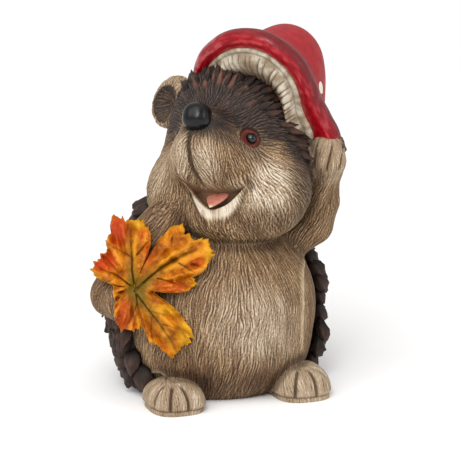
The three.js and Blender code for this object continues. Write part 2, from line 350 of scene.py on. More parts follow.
def keep_value(obj, name, values):
    """Keeps a number or a vector at each vertex, for a material to read."""
    kind = "FLOAT" if values.ndim == 1 else "FLOAT_VECTOR"
    field = "value" if values.ndim == 1 else "vector"
    made = obj.data.attributes.new(name, kind, "POINT")
    made.data.foreach_set(field, values.astype(np.float32).ravel())


def dressed(obj, finish, slot, *nodes):
    """Paints a piece, fixes it to the body, and hides the CAD nodes that it stands for."""
    obj.data.materials.clear()
    obj.data.materials.append(finish.material)
    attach(obj, "root")
    if nodes:
        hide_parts(*nodes)
    print(obj.name, len(obj.data.polygons), "faces")
    return obj


def tree_of(obj):
    """A mesh's faces, sorted so that the nearest one to a place is quickly found."""
    return BVHTree.FromPolygons(
        [v.co.copy() for v in obj.data.vertices], [tuple(f.vertices) for f in obj.data.polygons]
    )


def unit(v):
    return v / np.maximum(np.linalg.norm(v, axis=-1, keepdims=True), 1e-6)


def laid_flat(ways, normals):
    """Takes away the part of each direction that leaves the surface."""
    return ways - (ways * normals).sum(1, keepdims=True) * normals


def ease(values, low, high):
    """0 below low, 1 above high, and a smooth rise between them."""
    t = np.clip((values - low) / (high - low), 0, 1)
    return t * t * (3 - 2 * t)


def bell(values, width):
    """1 at zero, and a smooth fall to 0 on both sides."""
    return np.exp(-((values / width) ** 2))


def curve_through(points, count):
    """A smooth path of evenly spread places through a few corners."""
    points = np.float64(points)
    ends = np.vstack([2 * points[0] - points[1], points, 2 * points[-1] - points[-2]])
    path = []
    for a, b, c, d in zip(ends, ends[1:], ends[2:], ends[3:]):
        t = np.linspace(0, 1, 24, endpoint=False)[:, None]
        path.append(
            0.5
            * (2 * b + (c - a) * t + (2 * a - 5 * b + 4 * c - d) * t**2 + (3 * b - a - 3 * c + d) * t**3)
        )
    path = np.vstack(path + [points[-1:]])
    length = np.concatenate([[0], np.cumsum(np.linalg.norm(np.diff(path, axis=0), axis=1))])
    spread = np.linspace(0, length[-1], count)
    return np.stack([np.interp(spread, length, column) for column in path.T], 1)


# %% The floor
floor_finish = Finish("studio_floor", roughness=0.9).set(Base_Color=paint(252, 252, 252))
bpy.ops.mesh.primitive_plane_add(size=24, location=(0, 0, 0))
floor = bpy.context.object
floor.name = "studio_floor"
floor.data.materials.append(floor_finish.material)
floor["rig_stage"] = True
print("floor:", round(floor.dimensions.x), "m wide")

# %% [markdown]
# ## The masses of clay
#
# A modeller doesn't begin with fur. They press eggs and rolls of clay on a wire and smear the joints
# together. The same masses are kept here as distances: each function says how far a point is from
# one egg or roll, below zero inside it, and `melted` smears several into one another. The sizes are
# those of the CAD pieces, in millimetres, and the head has its own frame: its left on +X, its nose
# towards -Y and its crown on +Z.

# %% Eggs, rolls and how they melt together


def egg(centre, radii):
    """The distance from an egg. It is exact near the surface, and only roughly right further off."""
    centre, radii = np.float32(centre), np.float32(radii)

    def distance(p):
        q = (p - centre) / radii
        near = np.linalg.norm(q, axis=1)
        return near * (near - 1) / np.maximum(np.linalg.norm(q / radii, axis=1), 1e-5)

    return distance


def loaf(centre, radii, power=2.8):
    """An egg with fuller shoulders."""
    centre, radii = np.float32(centre), np.float32(radii)

    def distance(p):
        q = np.abs((p - centre) / radii)
        return ((q**power).sum(1) ** (1 / power) - 1) * radii.min()

    return distance


def along(p, start, end):
    """How far along a straight line each point is, from 0 to 1, and how far off it."""
    start, end = np.float32(start), np.float32(end)
    way = end - start
    t = np.clip((p - start) @ way / (way @ way), 0, 1)
    return t, np.linalg.norm(p - start - t[:, None] * way, axis=1)


def roll(*stations):
    """A roll of clay through stations of [x, y, z, radius]."""

    def distance(p):
        runs = []
        for a, b in zip(stations, stations[1:]):
            t, off = along(p, a[:3], b[:3])
            runs.append(off - (a[3] + (b[3] - a[3]) * t))
        return smear(runs, 0.8)

    return distance


def smear(distances, softness):
    """The least of several distances, with a soft hollow where they meet."""
    d = np.stack(distances)
    least = d.min(0)
    return least - softness * np.log(np.exp((least - d) / softness).sum(0))


def melted(*masses, softness):
    return lambda p: smear([mass(p) for mass in masses], softness)


def both_sides(centre, radii):
    x, y, z = centre
    return egg((x, y, z), radii), egg((-x, y, z), radii)


# %% The head's own frame
HEAD_AT = np.float32((15.7, -4.4, 181.6))
yaw, pitch, tilt = (math.radians(a) for a in (-45.9, -29.1, -5))
head_turn = Matrix.Rotation(yaw, 3, "Z") @ Matrix.Rotation(pitch, 3, "X") @ Matrix.Rotation(tilt, 3, "Y")
HEAD_AXES = np.float32(head_turn)


def in_head(p):
    return (p - HEAD_AT) @ HEAD_AXES


def from_head(p):
    return np.float32(p) @ HEAD_AXES.T + HEAD_AT


print("nose points", [round(float(x), 2) for x in -HEAD_AXES[:, 1]])

# %% The figure's masses
head_mass = melted(
    egg((0, 4, -10), (58, 49, 62)),  # the skull
    egg((-3, -8, 20), (48, 44, 53)),  # the brow
    egg((0, -48, 3), (15, 30, 13)),  # the bridge of the nose
    *both_sides((34, -6, -32), (31, 31, 32)),  # the cheeks
    *both_sides((10, -52, -21), (13, 25, 20)),  # the muzzle's pads
    *both_sides((20, -34, -20), (14, 22, 17)),  # between the pads and the cheeks
    egg((0, -17, -60), (21, 15, 11)),  # the chin
    softness=5.0,
)
trunk_mass = melted(
    egg((0, -1, 64), (75, 69, 67)),  # the belly
    egg((9, 15, 114), (62, 46, 44)),  # the shoulders
    egg((3, 0, 30), (69, 65, 44)),  # the seat
    egg((9, -6, 66), (65, 54, 60)),  # the fuller left flank
    softness=6.0,
)
# the limbs' stations are x, y, z and radius, from the root to the tip
ARM_LEFT = ((56, -6, 112, 18), (75, -18, 126, 15.5), (78, -28, 146, 13.5), (78, -34, 168, 11.5))
PAW_LEFT = ((78, -37, 173, 12.5), (77, -40, 180, 14.5), (76, -43, 189, 13))
ARM_RIGHT = ((-46, -14, 133, 18), (-68, -6, 110, 17.5), (-86, -8, 80, 16.5), (-83, -22, 77, 14))
PAW_RIGHT = ((-83, -22, 78, 13), (-78, -24, 82, 13), (-71, -29, 85, 11))
FOOT, FOOT_SIZE = (50.5, -51.5, 0), (21.5, 25, 22.5)
NEAR_FOOT, NEAR_FOOT_SIZE = (-51.5, -51.5, 0), (20.5, 25, 19.5)
EAR_AT, EAR_TURN = np.float32((-54, -13, 41)), math.radians(-17)
ear_axes = np.float32(Matrix.Rotation(EAR_TURN, 3, "Z"))
BOWL, BOWL_SIZE = (-4, -9.5, -4.5), (13.5, 10.5, 15.5)


def in_ear(p):
    return (in_head(p) - EAR_AT) @ ear_axes


def ear_mass(p):
    q = in_ear(p)
    lobe = egg((-1, 0, 0), (20.5, 8.5, 22))(q)
    bowl = egg(BOWL, BOWL_SIZE)(q)
    return np.maximum(lobe, -bowl)


masses = {
    "head": lambda p: head_mass(in_head(p)),
    "ear": ear_mass,
    "trunk": trunk_mass,
    "arm_left": roll(*ARM_LEFT),
    "paw_left": roll(*PAW_LEFT),
    "arm_right": roll(*ARM_RIGHT),
    "paw_right": roll(*PAW_RIGHT),
    "foot_left": loaf(FOOT, FOOT_SIZE),
    "foot_right": loaf(NEAR_FOOT, NEAR_FOOT_SIZE),
}
JOIN = 1.6  # how softly a limb meets the trunk


def figure(p):
    return smear([mass(p) for mass in masses.values()], JOIN)


print("masses:", ", ".join(masses))

# %% [markdown]
# ## One skin
#
# The figure is one casting, so its skin is one surface with no seams. Copies of the CAD pieces are
# swollen a little until they touch, joined, and remeshed into a net of small squares. Each corner of
# the net then slides onto the melted masses, which takes the flat facets of the CAD solids away.
# The net is unwrapped while it is still coarse, and then it is subdivided until its squares are
# finer than the strokes of the carving.

# %% Remesh the CAD pieces into one net
FLESH = (
    "trunk", "head", "snout", "lower_jaw", "ear_right", "arm_left", "arm_right", "paw_left", "paw_right",
    "foot_left", "foot_right",
)
NET = 2.2 * MM
SWELL = 0.5 * MM
MOUTH_PLUG, PLUG_SIZE = (0, -26, -44), (0.026, 0.026, 0.018)  # it closes the gap inside the mouth


def swell():
    bpy.ops.transform.shrink_fatten(value=SWELL)


skin = joined([editing(copy_of(name), swell) for name in FLESH], "skin")
plug_place = from_head(MOUTH_PLUG) * MM
bpy.ops.mesh.primitive_uv_sphere_add(segments=24, ring_count=12, radius=1, location=plug_place)
plug = bpy.context.object
plug.scale = PLUG_SIZE
skin = joined([skin, plug], "skin")
modified(skin, "REMESH", mode="VOXEL", voxel_size=NET)
modified(skin, "SMOOTH", factor=0.5, iterations=6)
print("net:", len(skin.data.vertices), "corners")


# %% Slide the net onto the masses
def slid(p, rounds=4, reach=3.0):
    """Moves points along the slope of the figure's distance until it is zero."""
    nudge = 0.2
    axes = np.eye(3, dtype=np.float32)
    for _ in range(rounds):
        d = figure(p)
        slope = np.stack([figure(p + np.float32(nudge) * axis) - d for axis in axes], 1)
        slope /= nudge
        steep = np.maximum((slope**2).sum(1), 0.25)
        p = p - np.clip(d / steep, -reach, reach)[:, None] * slope
    return p


places = slid(corners(skin))
places[:, 2] = np.maximum(places[:, 2], 0)
move_corners(skin, places)
modified(skin, "SMOOTH", factor=0.5, iterations=2)
editing(skin, lambda: bpy.ops.uv.smart_project(angle_limit=math.radians(66), island_margin=0.002))
skin.data.uv_layers[0].name = "OFBake"
# the coarse net is kept, for the spines to find their place on its unwrap
net_tree = tree_of(skin)
net_uv = numbers(skin.data.uv_layers["OFBake"].data, "uv", 2)
net_first = np.array([f.loop_start for f in skin.data.polygons])
modified(skin, "SUBSURF", levels=1, render_levels=1)
places = slid(corners(skin), rounds=2, reach=1.0)
places[:, 2] = np.maximum(places[:, 2], 0)
move_corners(skin, places)
low, high = places.min(0), places.max(0)
print("skin:", len(places), "corners,", np.round(high - low, 1), "mm")

# %% [markdown]
# ## Fine squares where the carving shows
#
# The coat of spines hides the back of the casting, so only the front is subdivided again. The back
# stays coarse and becomes the dark bed that the spines are set in.

# %% Part the hidden back from the front
# each coat of spines begins at a plane: a place on it, and the way to the back
BODY_SPINES = np.float32((0, -22, 50)), np.float32((0, 1, -0.28))
HEAD_SPINES = np.float32((27, 18, 179)), np.float32((0.45, 0.88, -0.1))
UNDER = 8.0  # how far behind its edge a coat hides the casting


def behind(p, plane):
    """How far a point is behind a coat's front edge."""
    start, towards = plane
    return (p - start) @ (towards / np.linalg.norm(towards))


def nearest_mass(p):
    """The name of the mass that each point belongs to."""
    names = list(masses)
    return np.array(names)[np.argmin([masses[name](p) for name in names], axis=0)]


def shares(p, softness=2.0):
    """How much of each mass a point belongs to. The shares of a point add up to 1."""
    weights = {name: np.exp(-np.clip(mass(p), -2, 40) / softness) for name, mass in masses.items()}
    total = sum(weights.values())
    return {name: weight / total for name, weight in weights.items()}


def under_coat(p, margin):
    """Which points lie further behind a coat's front edge than the margin."""
    kind = nearest_mass(p)
    on_head, on_trunk = kind == "head", kind == "trunk"
    return (on_head & (behind(p, HEAD_SPINES) > margin)) | (on_trunk & (behind(p, BODY_SPINES) > margin))


def split_off(obj, chosen, name):
    """Makes a piece of its own from the faces chosen by number."""
    flags = np.zeros(len(obj.data.polygons), bool)
    flags[chosen] = True
    only(obj)
    obj.data.polygons.foreach_set("select", flags)
    before = set(scene.objects)
    bpy.ops.object.mode_set(mode="EDIT")
    bpy.ops.mesh.select_mode(type="FACE")
    bpy.ops.mesh.separate(type="SELECTED")
    bpy.ops.object.mode_set(mode="OBJECT")
    made = (set(scene.objects) - before).pop()
    made.name = made.data.name = name
    return made


only(skin)
bpy.ops.object.mode_set(mode="EDIT")
bpy.ops.mesh.select_mode(type="FACE")
bpy.ops.mesh.select_all(action="DESELECT")
bpy.ops.object.mode_set(mode="OBJECT")
middles = numbers(skin.data.polygons, "center", 3) / MM
bed = split_off(skin, np.flatnonzero(under_coat(middles, UNDER)), "spine_bed")
modified(skin, "SUBSURF", levels=1, render_levels=1)
print("front:", len(skin.data.vertices), "corners; bed:", len(bed.data.vertices))

# %% [markdown]
# ## The lie of the fur
#
# Carved fur is hundreds of short gouges that follow one flow: back from the nose over the face, out
# from each eye, down the belly, and along each limb. The flow is a direction at every corner of the
# skin, blended between the parts by how near each part is.

# %% Comb the skin
EYE = np.float32((30.4, 0, -2.8))
NOSE_TIP = np.float32((0, -66, 2))
FAR_EYE_IN = 8.4  # how much nearer to the middle the right eye is than the left one
MOUTH_MIDDLE, MOUTH_REACH = 2.5, (17.5, 27.5)  # it opens further to the figure's left


def limb_way(stations):
    """The direction from a limb's root to its tip."""
    return unit(np.float32(stations[-1][:3]) - np.float32(stations[0][:3]))


def eye_places():
    """Where the two beads sit, found on the head's own surface."""
    found = []
    depth = np.linspace(20, 60, 400, dtype=np.float32)
    for across in (EYE[0], -EYE[0] + FAR_EYE_IN):
        line = np.stack([np.full(len(depth), across), -depth, np.full(len(depth), EYE[2])], 1)
        found.append(line[np.argmin(np.abs(head_mass(line)))])
    return found


eyes = eye_places()
print("eyes at", np.round(eyes, 1).tolist())


def combed(p, n):
    """The direction of the fur at each point, along the surface."""
    local = in_head(p)
    face = unit(local - NOSE_TIP)
    face[:, 2] -= 0.9 * ease(-local[:, 2], 30, 62)
    for eye in eyes:
        out = unit(local - eye)
        near = bell(np.linalg.norm(local - eye, axis=1), 11.0)[:, None]
        face = face * (1 - near) + out * near * 1.5
    straight = {
        "arm_left": -limb_way(ARM_LEFT),
        "paw_left": -limb_way(PAW_LEFT),
        "arm_right": limb_way(ARM_RIGHT[:3]),
        "paw_right": limb_way(PAW_RIGHT),
        "foot_left": np.float32((0.1, -0.5, -1)),
        "foot_right": np.float32((-0.1, -0.5, -1)),
    }
    flows = {
        "head": face @ HEAD_AXES.T,
        "ear": unit((local - EAR_AT) @ HEAD_AXES.T),
        "trunk": np.stack([(p[:, 0] - 12) * 0.0035, 0 * p[:, 0], 0 * p[:, 0] - 1], 1),
        **straight,
    }
    total = np.zeros_like(p)
    for name, flow in flows.items():
        total += part[name][:, None] * flow
    return unit(laid_flat(total, n))


# %% Grit smeared along the flow
chance = np.random.default_rng(11)
GRIT = 48  # the grit fills a cube of this many values a side, and then repeats
AWAY = 500.0  # it keeps every place on the positive side of the cube's corner
grit = chance.standard_normal(GRIT**3).astype(np.float32)


def grain(p, pitch):
    """A smooth random value through space, with bumps about as far apart as the pitch."""
    q = p / pitch + AWAY
    cell = np.floor(q).astype(np.int64)
    f = (q - cell).astype(np.float32)
    f = f * f * (3 - 2 * f)
    total = np.zeros(len(p), np.float32)
    for dx in (0, 1):
        for dy in (0, 1):
            for dz in (0, 1):
                x, y, z = ((cell[:, i] + d) % GRIT for i, d in enumerate((dx, dy, dz)))
                share = (f[:, 0] if dx else 1 - f[:, 0]) * (f[:, 1] if dy else 1 - f[:, 1])
                total += grit[(x * GRIT + y) * GRIT + z] * share * (f[:, 2] if dz else 1 - f[:, 2])
    return total


def strokes(p, flow, pitch, length, steps=9):
    """Grit dragged along the flow, which leaves long streaks. Its mean is 0 and its spread 1."""
    reach = np.linspace(-length / 2, length / 2, steps)
    total = sum(grain(p + flow * np.float32(s), pitch) for s in reach)
    return (total - total.mean()) / total.std()


def evened(values, edges, rounds):
    """Takes away what varies slowly over the mesh, so that the strokes are as strong all over."""
    a, b = edges.T
    slow, most = values, len(values)
    touching = np.bincount(a, minlength=most) + np.bincount(b, minlength=most)
    for _ in range(rounds):
        near = np.bincount(a, slow[b], most) + np.bincount(b, slow[a], most)
        slow = 0.5 * slow + 0.5 * near / touching
    return (values - slow).astype(np.float32)


places, facing = corners(skin), upright(skin)
edges = np.empty(len(skin.data.edges) * 2, np.int32)
skin.data.edges.foreach_get("vertices", edges)
edges = edges.reshape(-1, 2)
part = shares(places)
flow = combed(places, facing)
bend = grain(places, 14.0)[:, None] * 0.22
flow = unit(flow + np.cross(facing, flow) * bend)
on_face = (part["head"] + part["ear"])[:, None]
# pitch and length are in millimetres, and each layer is shifted so that it doesn't repeat another
narrow = strokes(places, flow * (1 - 0.35 * on_face), 0.66, 5.4)
wider = strokes(places + 31, flow, 0.95, 6.5, 7)
fine = evened(0.8 * narrow + 0.45 * wider, edges, 9)
fine /= fine.std()
broad = strokes(places + 60, flow, 3.4, 16.0, 7)
print("strokes:", len(fine), "values, spread", round(float(fine.std()), 2))

# %% [markdown]
# ## Modelling the face, the toes and the fingers
#
# The large tools come before the small ones. The mouth is pressed in, the lips are pushed up round
# it, the groove under the nose is cut and each eye gets its socket and lid. Feet and paws get a
# groove between every two toes. All of it moves the corners of the net along their own facing.

# %% Press the mouth, the lips and the sockets
local = in_head(places)
across, depth, up = local.T
# how far things stand out or are pressed in, in millimetres
LIP_OUT, LIP_EDGE_OUT, LID_OUT = 1.8, 1.0, 1.3
UNDER_LIP_IN, PHILTRUM_IN, SMILE_IN, SOCKET_IN, MOUTH_IN = 0.7, 2.4, 1.6, 1.3, 8.0
push = np.zeros(len(places), np.float32)
kind = nearest_mass(places)
on_head = kind == "head"
in_front = on_head & (depth < -12)

from_middle = across - MOUTH_MIDDLE
half_mouth = np.where(from_middle < 0, *MOUTH_REACH)
side = np.clip(np.abs(from_middle) / half_mouth, 0, 2)  # 0 in the middle and 1 at a corner
upper_lip = -43.0 + 3.5 * side**2
lower_lip = -55.8 + 16.3 * side**1.6
chin_line = -64.6 + 23.6 * side**2.4
inside = np.minimum(upper_lip - up, up - lower_lip)
mouth = np.where(in_front, ease(inside, -0.3, 1.8), 0)
crescent = np.where(in_front, ease(lower_lip - up, -0.6, 0.6) * ease(up - chin_line, -1.5, 3.5), 0)
crescent *= ease(1.02 - side, 0, 0.3)
push += LIP_OUT * crescent * (1 - mouth)
under_lip = bell(up - chin_line + 2.5, 2.4) * ease(side, 0.1, 0.5) * ease(1.2 - side, 0, 0.2)
under_lip = np.where(in_front, under_lip, 0)
push -= UNDER_LIP_IN * under_lip
push += np.where(in_front, LIP_EDGE_OUT * bell(up - upper_lip - 2.5, 2.0) * ease(1.1 - side, 0, 0.3), 0)

# the groove from the nose down to the lip
groove_middle = np.interp(up, (-41.5, -36.8, -26.7, -12.9), (1.1, -1.8, -2.6, -4.4))
philtrum = bell(across - groove_middle, 1.5) * ease(-up, 6, 12) * ease(up + 44, 0, 4)
philtrum = np.where(in_front & (up < -3), philtrum, 0)
push -= PHILTRUM_IN * philtrum

# the crease where the cheek swells beyond each corner of the mouth
corner = np.stack([np.abs(from_middle) / half_mouth, (up + 39.5) / 11], 1)
smile = np.where(in_front, bell(np.hypot(corner[:, 0] - 0.62, corner[:, 1]) - 0.55, 0.11), 0)
smile = smile * ease(corner[:, 0], 0.95, 1.08) * ease(corner[:, 1], -0.5, -0.1)
push -= SMILE_IN * smile

ring, lid, socket_edge = (np.zeros(len(places), np.float32) for _ in range(3))
for eye in eyes:
    far = np.linalg.norm(local - eye, axis=1)
    above_eye = ease(up - eye[2], -5, 4)
    ring = np.maximum(ring, ease(7.7 - far + 0.8 * grain(local, 2.0), -0.4, 0.6))
    socket_edge = np.maximum(socket_edge, bell(far - 7.9, 0.9) + bell(far - 4.6, 0.9))
    lid = np.maximum(lid, bell(far - 9.8, 1.3) * (0.35 + 0.65 * above_eye))
    push -= SOCKET_IN * ease(8.7 - far, 0, 1.2)
push += LID_OUT * lid


# %% Cut the toes and the fingers
def round_the(p, centre):
    """The bearing of each point round an upright axis, in degrees from straight ahead, and its radius."""
    x, y = p[:, 0] - centre[0], p[:, 1] - centre[1]
    return np.degrees(np.arctan2(x, -y)), np.hypot(x, y)


toe_cut = np.zeros(len(places), np.float32)
TOE_IN, SOLE_IN, FINGER_IN = 3.0, 0.9, 1.9
TOES = {  # the middle of each foot, and the bearings of the cuts
    "foot_right": (NEAR_FOOT[0], (-57, -24, 8)),
    "foot_left": (FOOT[0], (-28, 11, 43)),
}
FINGERS = (-62, -30, 2, 34, 66)
for name, (x, bearings) in TOES.items():
    turn, radius = round_the(places, (x, FOOT[1]))
    for bearing in bearings:
        off = np.radians(turn - bearing) * radius
        high = ease(24.5 - places[:, 2], 0, 5) * ease(places[:, 2], 2.5, 6)
        cut = bell(off, 1.3) * high * ease(radius, 6, 14)
        toe_cut = np.maximum(toe_cut, np.where(kind == name, cut, 0))
        # the toes swell away from each cut
        push += np.where(kind == name, 1.2 * (bell(off, 7.5) - 1) * -0.6 * high, 0)
push -= TOE_IN * toe_cut
on_foot = np.isin(kind, ("foot_left", "foot_right"))
sole = np.where(on_foot, bell(places[:, 2] - 3.6, 0.9), 0)
push -= SOLE_IN * sole


def round_the_limb(p, stations, outer_way):
    """The bearing of each point round a limb's axis, how far along the axis it is, and how far off."""
    start, way = np.float32(stations[0][:3]), limb_way(stations)
    outer_way = np.float32(outer_way)
    first = unit(outer_way - (way * outer_way) @ way)  # roughly square to the axis
    second = np.cross(way, first)
    q = p - start
    return np.degrees(np.arctan2(q @ second, q @ first)), q @ way, np.hypot(q @ second, q @ first)


finger_cut = np.zeros(len(places), np.float32)
turn, reached, radius = round_the_limb(places, PAW_LEFT, (-0.34, -0.92, 0.2))
for bearing in FINGERS:
    off = np.radians(turn - bearing - (reached - 12) * 0.5) * radius
    cut = bell(off, 1.1) * ease(reached, 3, 9) * ease(30 - reached, 0, 6)
    finger_cut = np.maximum(finger_cut, np.where(kind == "paw_left", cut, 0))
push -= FINGER_IN * finger_cut
places += facing * push[:, None]
mouth_way = from_head((0, 1, 0.1)) - from_head((0, 0, 0))  # straight back into the head
places += mouth_way * (mouth * MOUTH_IN)[:, None]
print("pressed up to", round(float(np.abs(push).max()), 2), "mm")

# %% Pinch the folds and measure the hollows, for painted shade
def off_path(p, stations):
    """How far points are from a path through places, and how far along it, from 0 to 1."""
    best, where = np.full(len(p), 1e9, np.float32), np.zeros(len(p), np.float32)
    runs = len(stations) - 1
    for place, (start, end) in enumerate(zip(stations, stations[1:])):
        t, off = along(p, start, end)
        closer = off < best
        best = np.where(closer, off, best)
        where = np.where(closer, (place + t) / runs, where)
    return best, where


FOLDS = (  # each fold's width, how proud it stands, and the places that it runs through
    (1.3, 2.2, (64.1, -22.7, 101), (55.9, -41.3, 94), (52.6, -49.9, 84), (51.3, -54, 73),
     (50.2, -55.7, 60), (50.9, -53.7, 46), (52.7, -48.3, 28)),
    (1.0, 1.0, (-62.2, -20.5, 19.8), (-56.5, -33.2, 24), (-47.1, -34, 24), (-34.8, -36, 19),
     (-27.8, -45, 14)),
)
fold = np.zeros(len(places), np.float32)
for wide, proud, *stations in FOLDS:
    off, where = off_path(places, slid(np.float32(curve_through(stations, 15))))
    near = bell(off, wide * 1.5) * part["trunk"] * ease(where, 0, 0.1) * ease(1 - where, 0, 0.12)
    fold = np.maximum(fold, near)
    places += facing * (near * proud)[:, None]

REACH = 9.0  # a point this far out from an open surface is this far from it, and nearer in a hollow
SLIGHT = 0.08  # a hollow no deeper than this doesn't count
# how deep each corner lies in a hollow between the masses; the fur is painted darker there, as painted
# shade
hollow = np.zeros(len(places), np.float32)
for chunk in np.array_split(np.arange(len(places)), 8):
    hollow[chunk] = 1 - figure(places[chunk] + facing[chunk] * REACH) / REACH
hollow = np.clip(hollow - SLIGHT, 0, 1) * (1 - ring)
print("hollows: mean", round(float(hollow.mean()), 3), "most", round(float(hollow.max()), 2))

# %% Carve the fur
GOUGE, GRAIN, SWELL_OF_FUR = 0.3, 0.2, 0.22  # millimetres
bald = np.clip(mouth + ring + 0.75 * crescent, 0, 1)  # where there is hardly any fur
paws = part["foot_left"] + part["foot_right"] + part["paw_left"] + part["paw_right"]
gouge = ease(-fine, 0.0, 2.0)
relief = GRAIN * np.tanh(fine) - gouge * GOUGE + SWELL_OF_FUR * np.tanh(broad)
relief = relief * (1 - bald) * (1 - 0.35 * paws)
places += facing * relief[:, None]
places[:, 2] = np.maximum(places[:, 2], 0)
move_corners(skin, places)
print("carved", round(float(relief.min()), 2), "to", round(float(relief.max()), 2), "mm")

# %% [markdown]
# ## Painting the casting
#
# A dark brown wash stays in the gouges, and cream paint dragged over the top catches only the
# ridges. The forehead is dark, the muzzle, the cheeks and the feet are almost white. Each zone is
# a soft spray: a place, how far it reaches, and how strong it is. Some sprays are painted shade:
# under the chin, between the feet, in the creases of the face and in the hollows between the masses.
# The mesh keeps the sprays and the height of the carving at its corners, and the material mixes the
# paints by them.


# %% Spray the zones
def spray(p, spots):
    """How much paint each point gets from soft sprays of (place, reach, strength)."""
    total = np.zeros(len(p), np.float32)
    for centre, reach, strength in spots:
        far = np.linalg.norm((p - np.float32(centre)) / np.float32(reach), axis=1)
        total = total + strength * ease(1.5 - far, 0, 1.0)
    return np.clip(total, 0, 1)


PALE_HEAD = (
    ((-10, -66, -24), (9, 16, 16), 0.75),
    ((8, -64, -27), (10, 16, 14), 0.65),
    ((48, -33, -36), (13, 23, 17), 1.0),
    ((30, -38, -48), (14, 18, 11), 0.4),
    ((-44, -28, -28), (15, 22, 17), 0.35),
)
DARK_HEAD = (
    ((0, -34, 52), (64, 46, 37), 1.0),
    ((48, -10, 20), (24, 30, 25), 1.0),
    ((60, 0, -8), (12, 24, 40), 0.8),
    ((44, -4, -60), (30, 30, 13), 0.3),
    ((-44, -30, 26), (24, 26, 22), 0.9),
    ((-30, -36, 2), (13, 20, 12), 0.6),
    ((0, -60, 12), (18, 20, 9), 0.7),
    ((14, -54, 7), (18, 18, 10), 0.65),
    ((34, -38, 9), (20, 20, 12), 0.6),
    ((30, -42, -8), (16, 16, 8), 0.4),
    ((12, -50, 20), (26, 22, 12), 0.7),
    ((14, -68, -7), (13, 18, 10), 0.75),
    ((28, -44, -16), (14, 14, 8), 0.3),
)
BLACK_HEAD = (((0, -70, -2), (14, 15, 9), 1.0),)
PALE_TRUNK = (
    ((4, -66, 66), (30, 30, 26), 0.45),
    ((22, -64, 52), (26, 30, 30), 0.26),
)
# painted shade on the trunk: between the feet, under the leaf beside the near foot, under the chin and
# along the edge of the spines
TRUNK_SHADE = (
    ((0, -46, 10), (64, 60, 20), 0.55),
    ((20, -56, 22), (26, 40, 16), 0.3),
    ((-40, -44, 28), (24, 30, 24), 0.5),
    ((46, -30, 116), (30, 36, 14), 0.3),
    ((68, -22, 60), (9, 30, 60), 0.5),
)
pale = np.where(on_head, spray(local, PALE_HEAD), 0)
dark = np.where(on_head, spray(local, DARK_HEAD), 0)
# painted shade, multiplied in as a warm brown: the trunk's shaded places, the crease beyond each mouth
# corner and the band under the lower lip; it also darkens both arms, the near one more
painted_shade = (
    part["trunk"] * spray(places, TRUNK_SHADE)
    + 0.35 * part["arm_right"]
    + 0.15 * part["arm_left"]
    + 0.6 * smile
    + 0.5 * under_lip
)
feet = part["foot_left"] + part["foot_right"]
pale = np.maximum(pale, feet * 0.6 + 0.14 * part["foot_left"])
pale = np.maximum(pale, part["paw_left"] * 0.45 + part["paw_right"] * 0.1)
pale = np.maximum(pale, part["trunk"] * spray(places, PALE_TRUNK))
off_bowl = np.linalg.norm((in_ear(places) - np.float32(BOWL)) / np.float32(BOWL_SIZE), axis=1)
in_bowl = ease(1.15 - off_bowl, 0, 0.12)
dark = np.maximum(dark, part["ear"] * in_bowl * 0.9)
pale = np.maximum(pale, part["ear"] * (1 - in_bowl) * 0.3)
pale = np.maximum(pale, 0.95 * crescent)
dark = dark * (1 - crescent)
black = np.where(on_head, spray(local, BLACK_HEAD), 0)
softer = (1 - bald) * (1 - 0.45 * paws)
zones = {
    "ridge": np.clip(0.5 + (fine * softer + 0.25 * broad) * 0.22 + 0.2 * crescent, 0, 1),
    "scored": np.clip(toe_cut + finger_cut + 0.95 * philtrum + 0.6 * sole + 0.4 * smile, 0, 1),
    "pale": pale,
    "dark": dark,
    "painted_shade": np.clip(painted_shade, 0, 1),
    "black": black,
    "mouth": mouth,
    "ring": ring * (1 - mouth),
    "socket": np.clip(socket_edge, 0, 1),
    "hollow": ease(hollow, 0.0, 0.55),
    "fold": fold,
}
for name, values in zones.items():
    keep_value(skin, name, values)
print("sprayed", len(zones), "zones on", len(places), "corners")

# %% The fur finish
fur = Finish("carved_fur", roughness=0.6, Specular_IOR_Level=0.3)
ridge = fur.kept("ridge")
mottle = fur.noise(70.0, 4.0)
speck = fur.noise(1100.0, 2.0)
height_wire = ridge + (mottle - 0.5) * 0.25 + (speck - 0.5) * 0.2


def three_paints(low, middle, top):
    """A wash in the gouges, a paint on the slopes and a dry-brushed paint on the ridges."""
    below = fur.mixed(height_wire.step(0.18, 0.48), low, middle)
    return fur.mixed(height_wire.step(0.52, 0.8), below, top)


brown = three_paints(paint(68, 46, 28), paint(120, 92, 63), paint(174, 148, 114))
cream = three_paints(paint(112, 90, 66), paint(172, 152, 126), paint(216, 205, 187))
umber = three_paints(paint(21, 16, 14), paint(45, 34, 29), paint(80, 62, 52))
socket_colour = fur.mixed(speck.step(0.35, 0.65), paint(82, 26, 18), paint(134, 50, 30))
coat = fur.layered(
    brown,
    (fur.kept("pale"), cream),
    (fur.kept("dark"), umber),
    # painted shade, multiplied in as a warm brown
    (fur.kept("painted_shade") * 0.85, paint(138, 104, 76), "MULTIPLY"),
    (fur.kept("fold") * (ridge * 0.5 + 0.35), paint(200, 182, 152)),
    # dark paint in the cuts between toes and fingers, the groove under the nose, the sole line and the
    # smile crease: partly wash left in the cuts, partly painted shade
    (fur.kept("scored").step(0.1, 0.9) * 0.8, paint(70, 50, 34)),
    # painted shade in the hollows between the masses
    (fur.kept("hollow") * 0.46, paint(92, 66, 44), "MULTIPLY"),
    (fur.kept("black"), paint(30, 28, 29)),
    (fur.kept("mouth") * 0.9, paint(112, 82, 60)),
    (fur.kept("ring"), socket_colour),
    (fur.kept("socket") * 0.85, paint(44, 24, 19)),
)
fur.set(Base_Color=coat, Roughness=speck * 0.2 + 0.5)
print("fur:", len(fur.tree.nodes), "nodes")

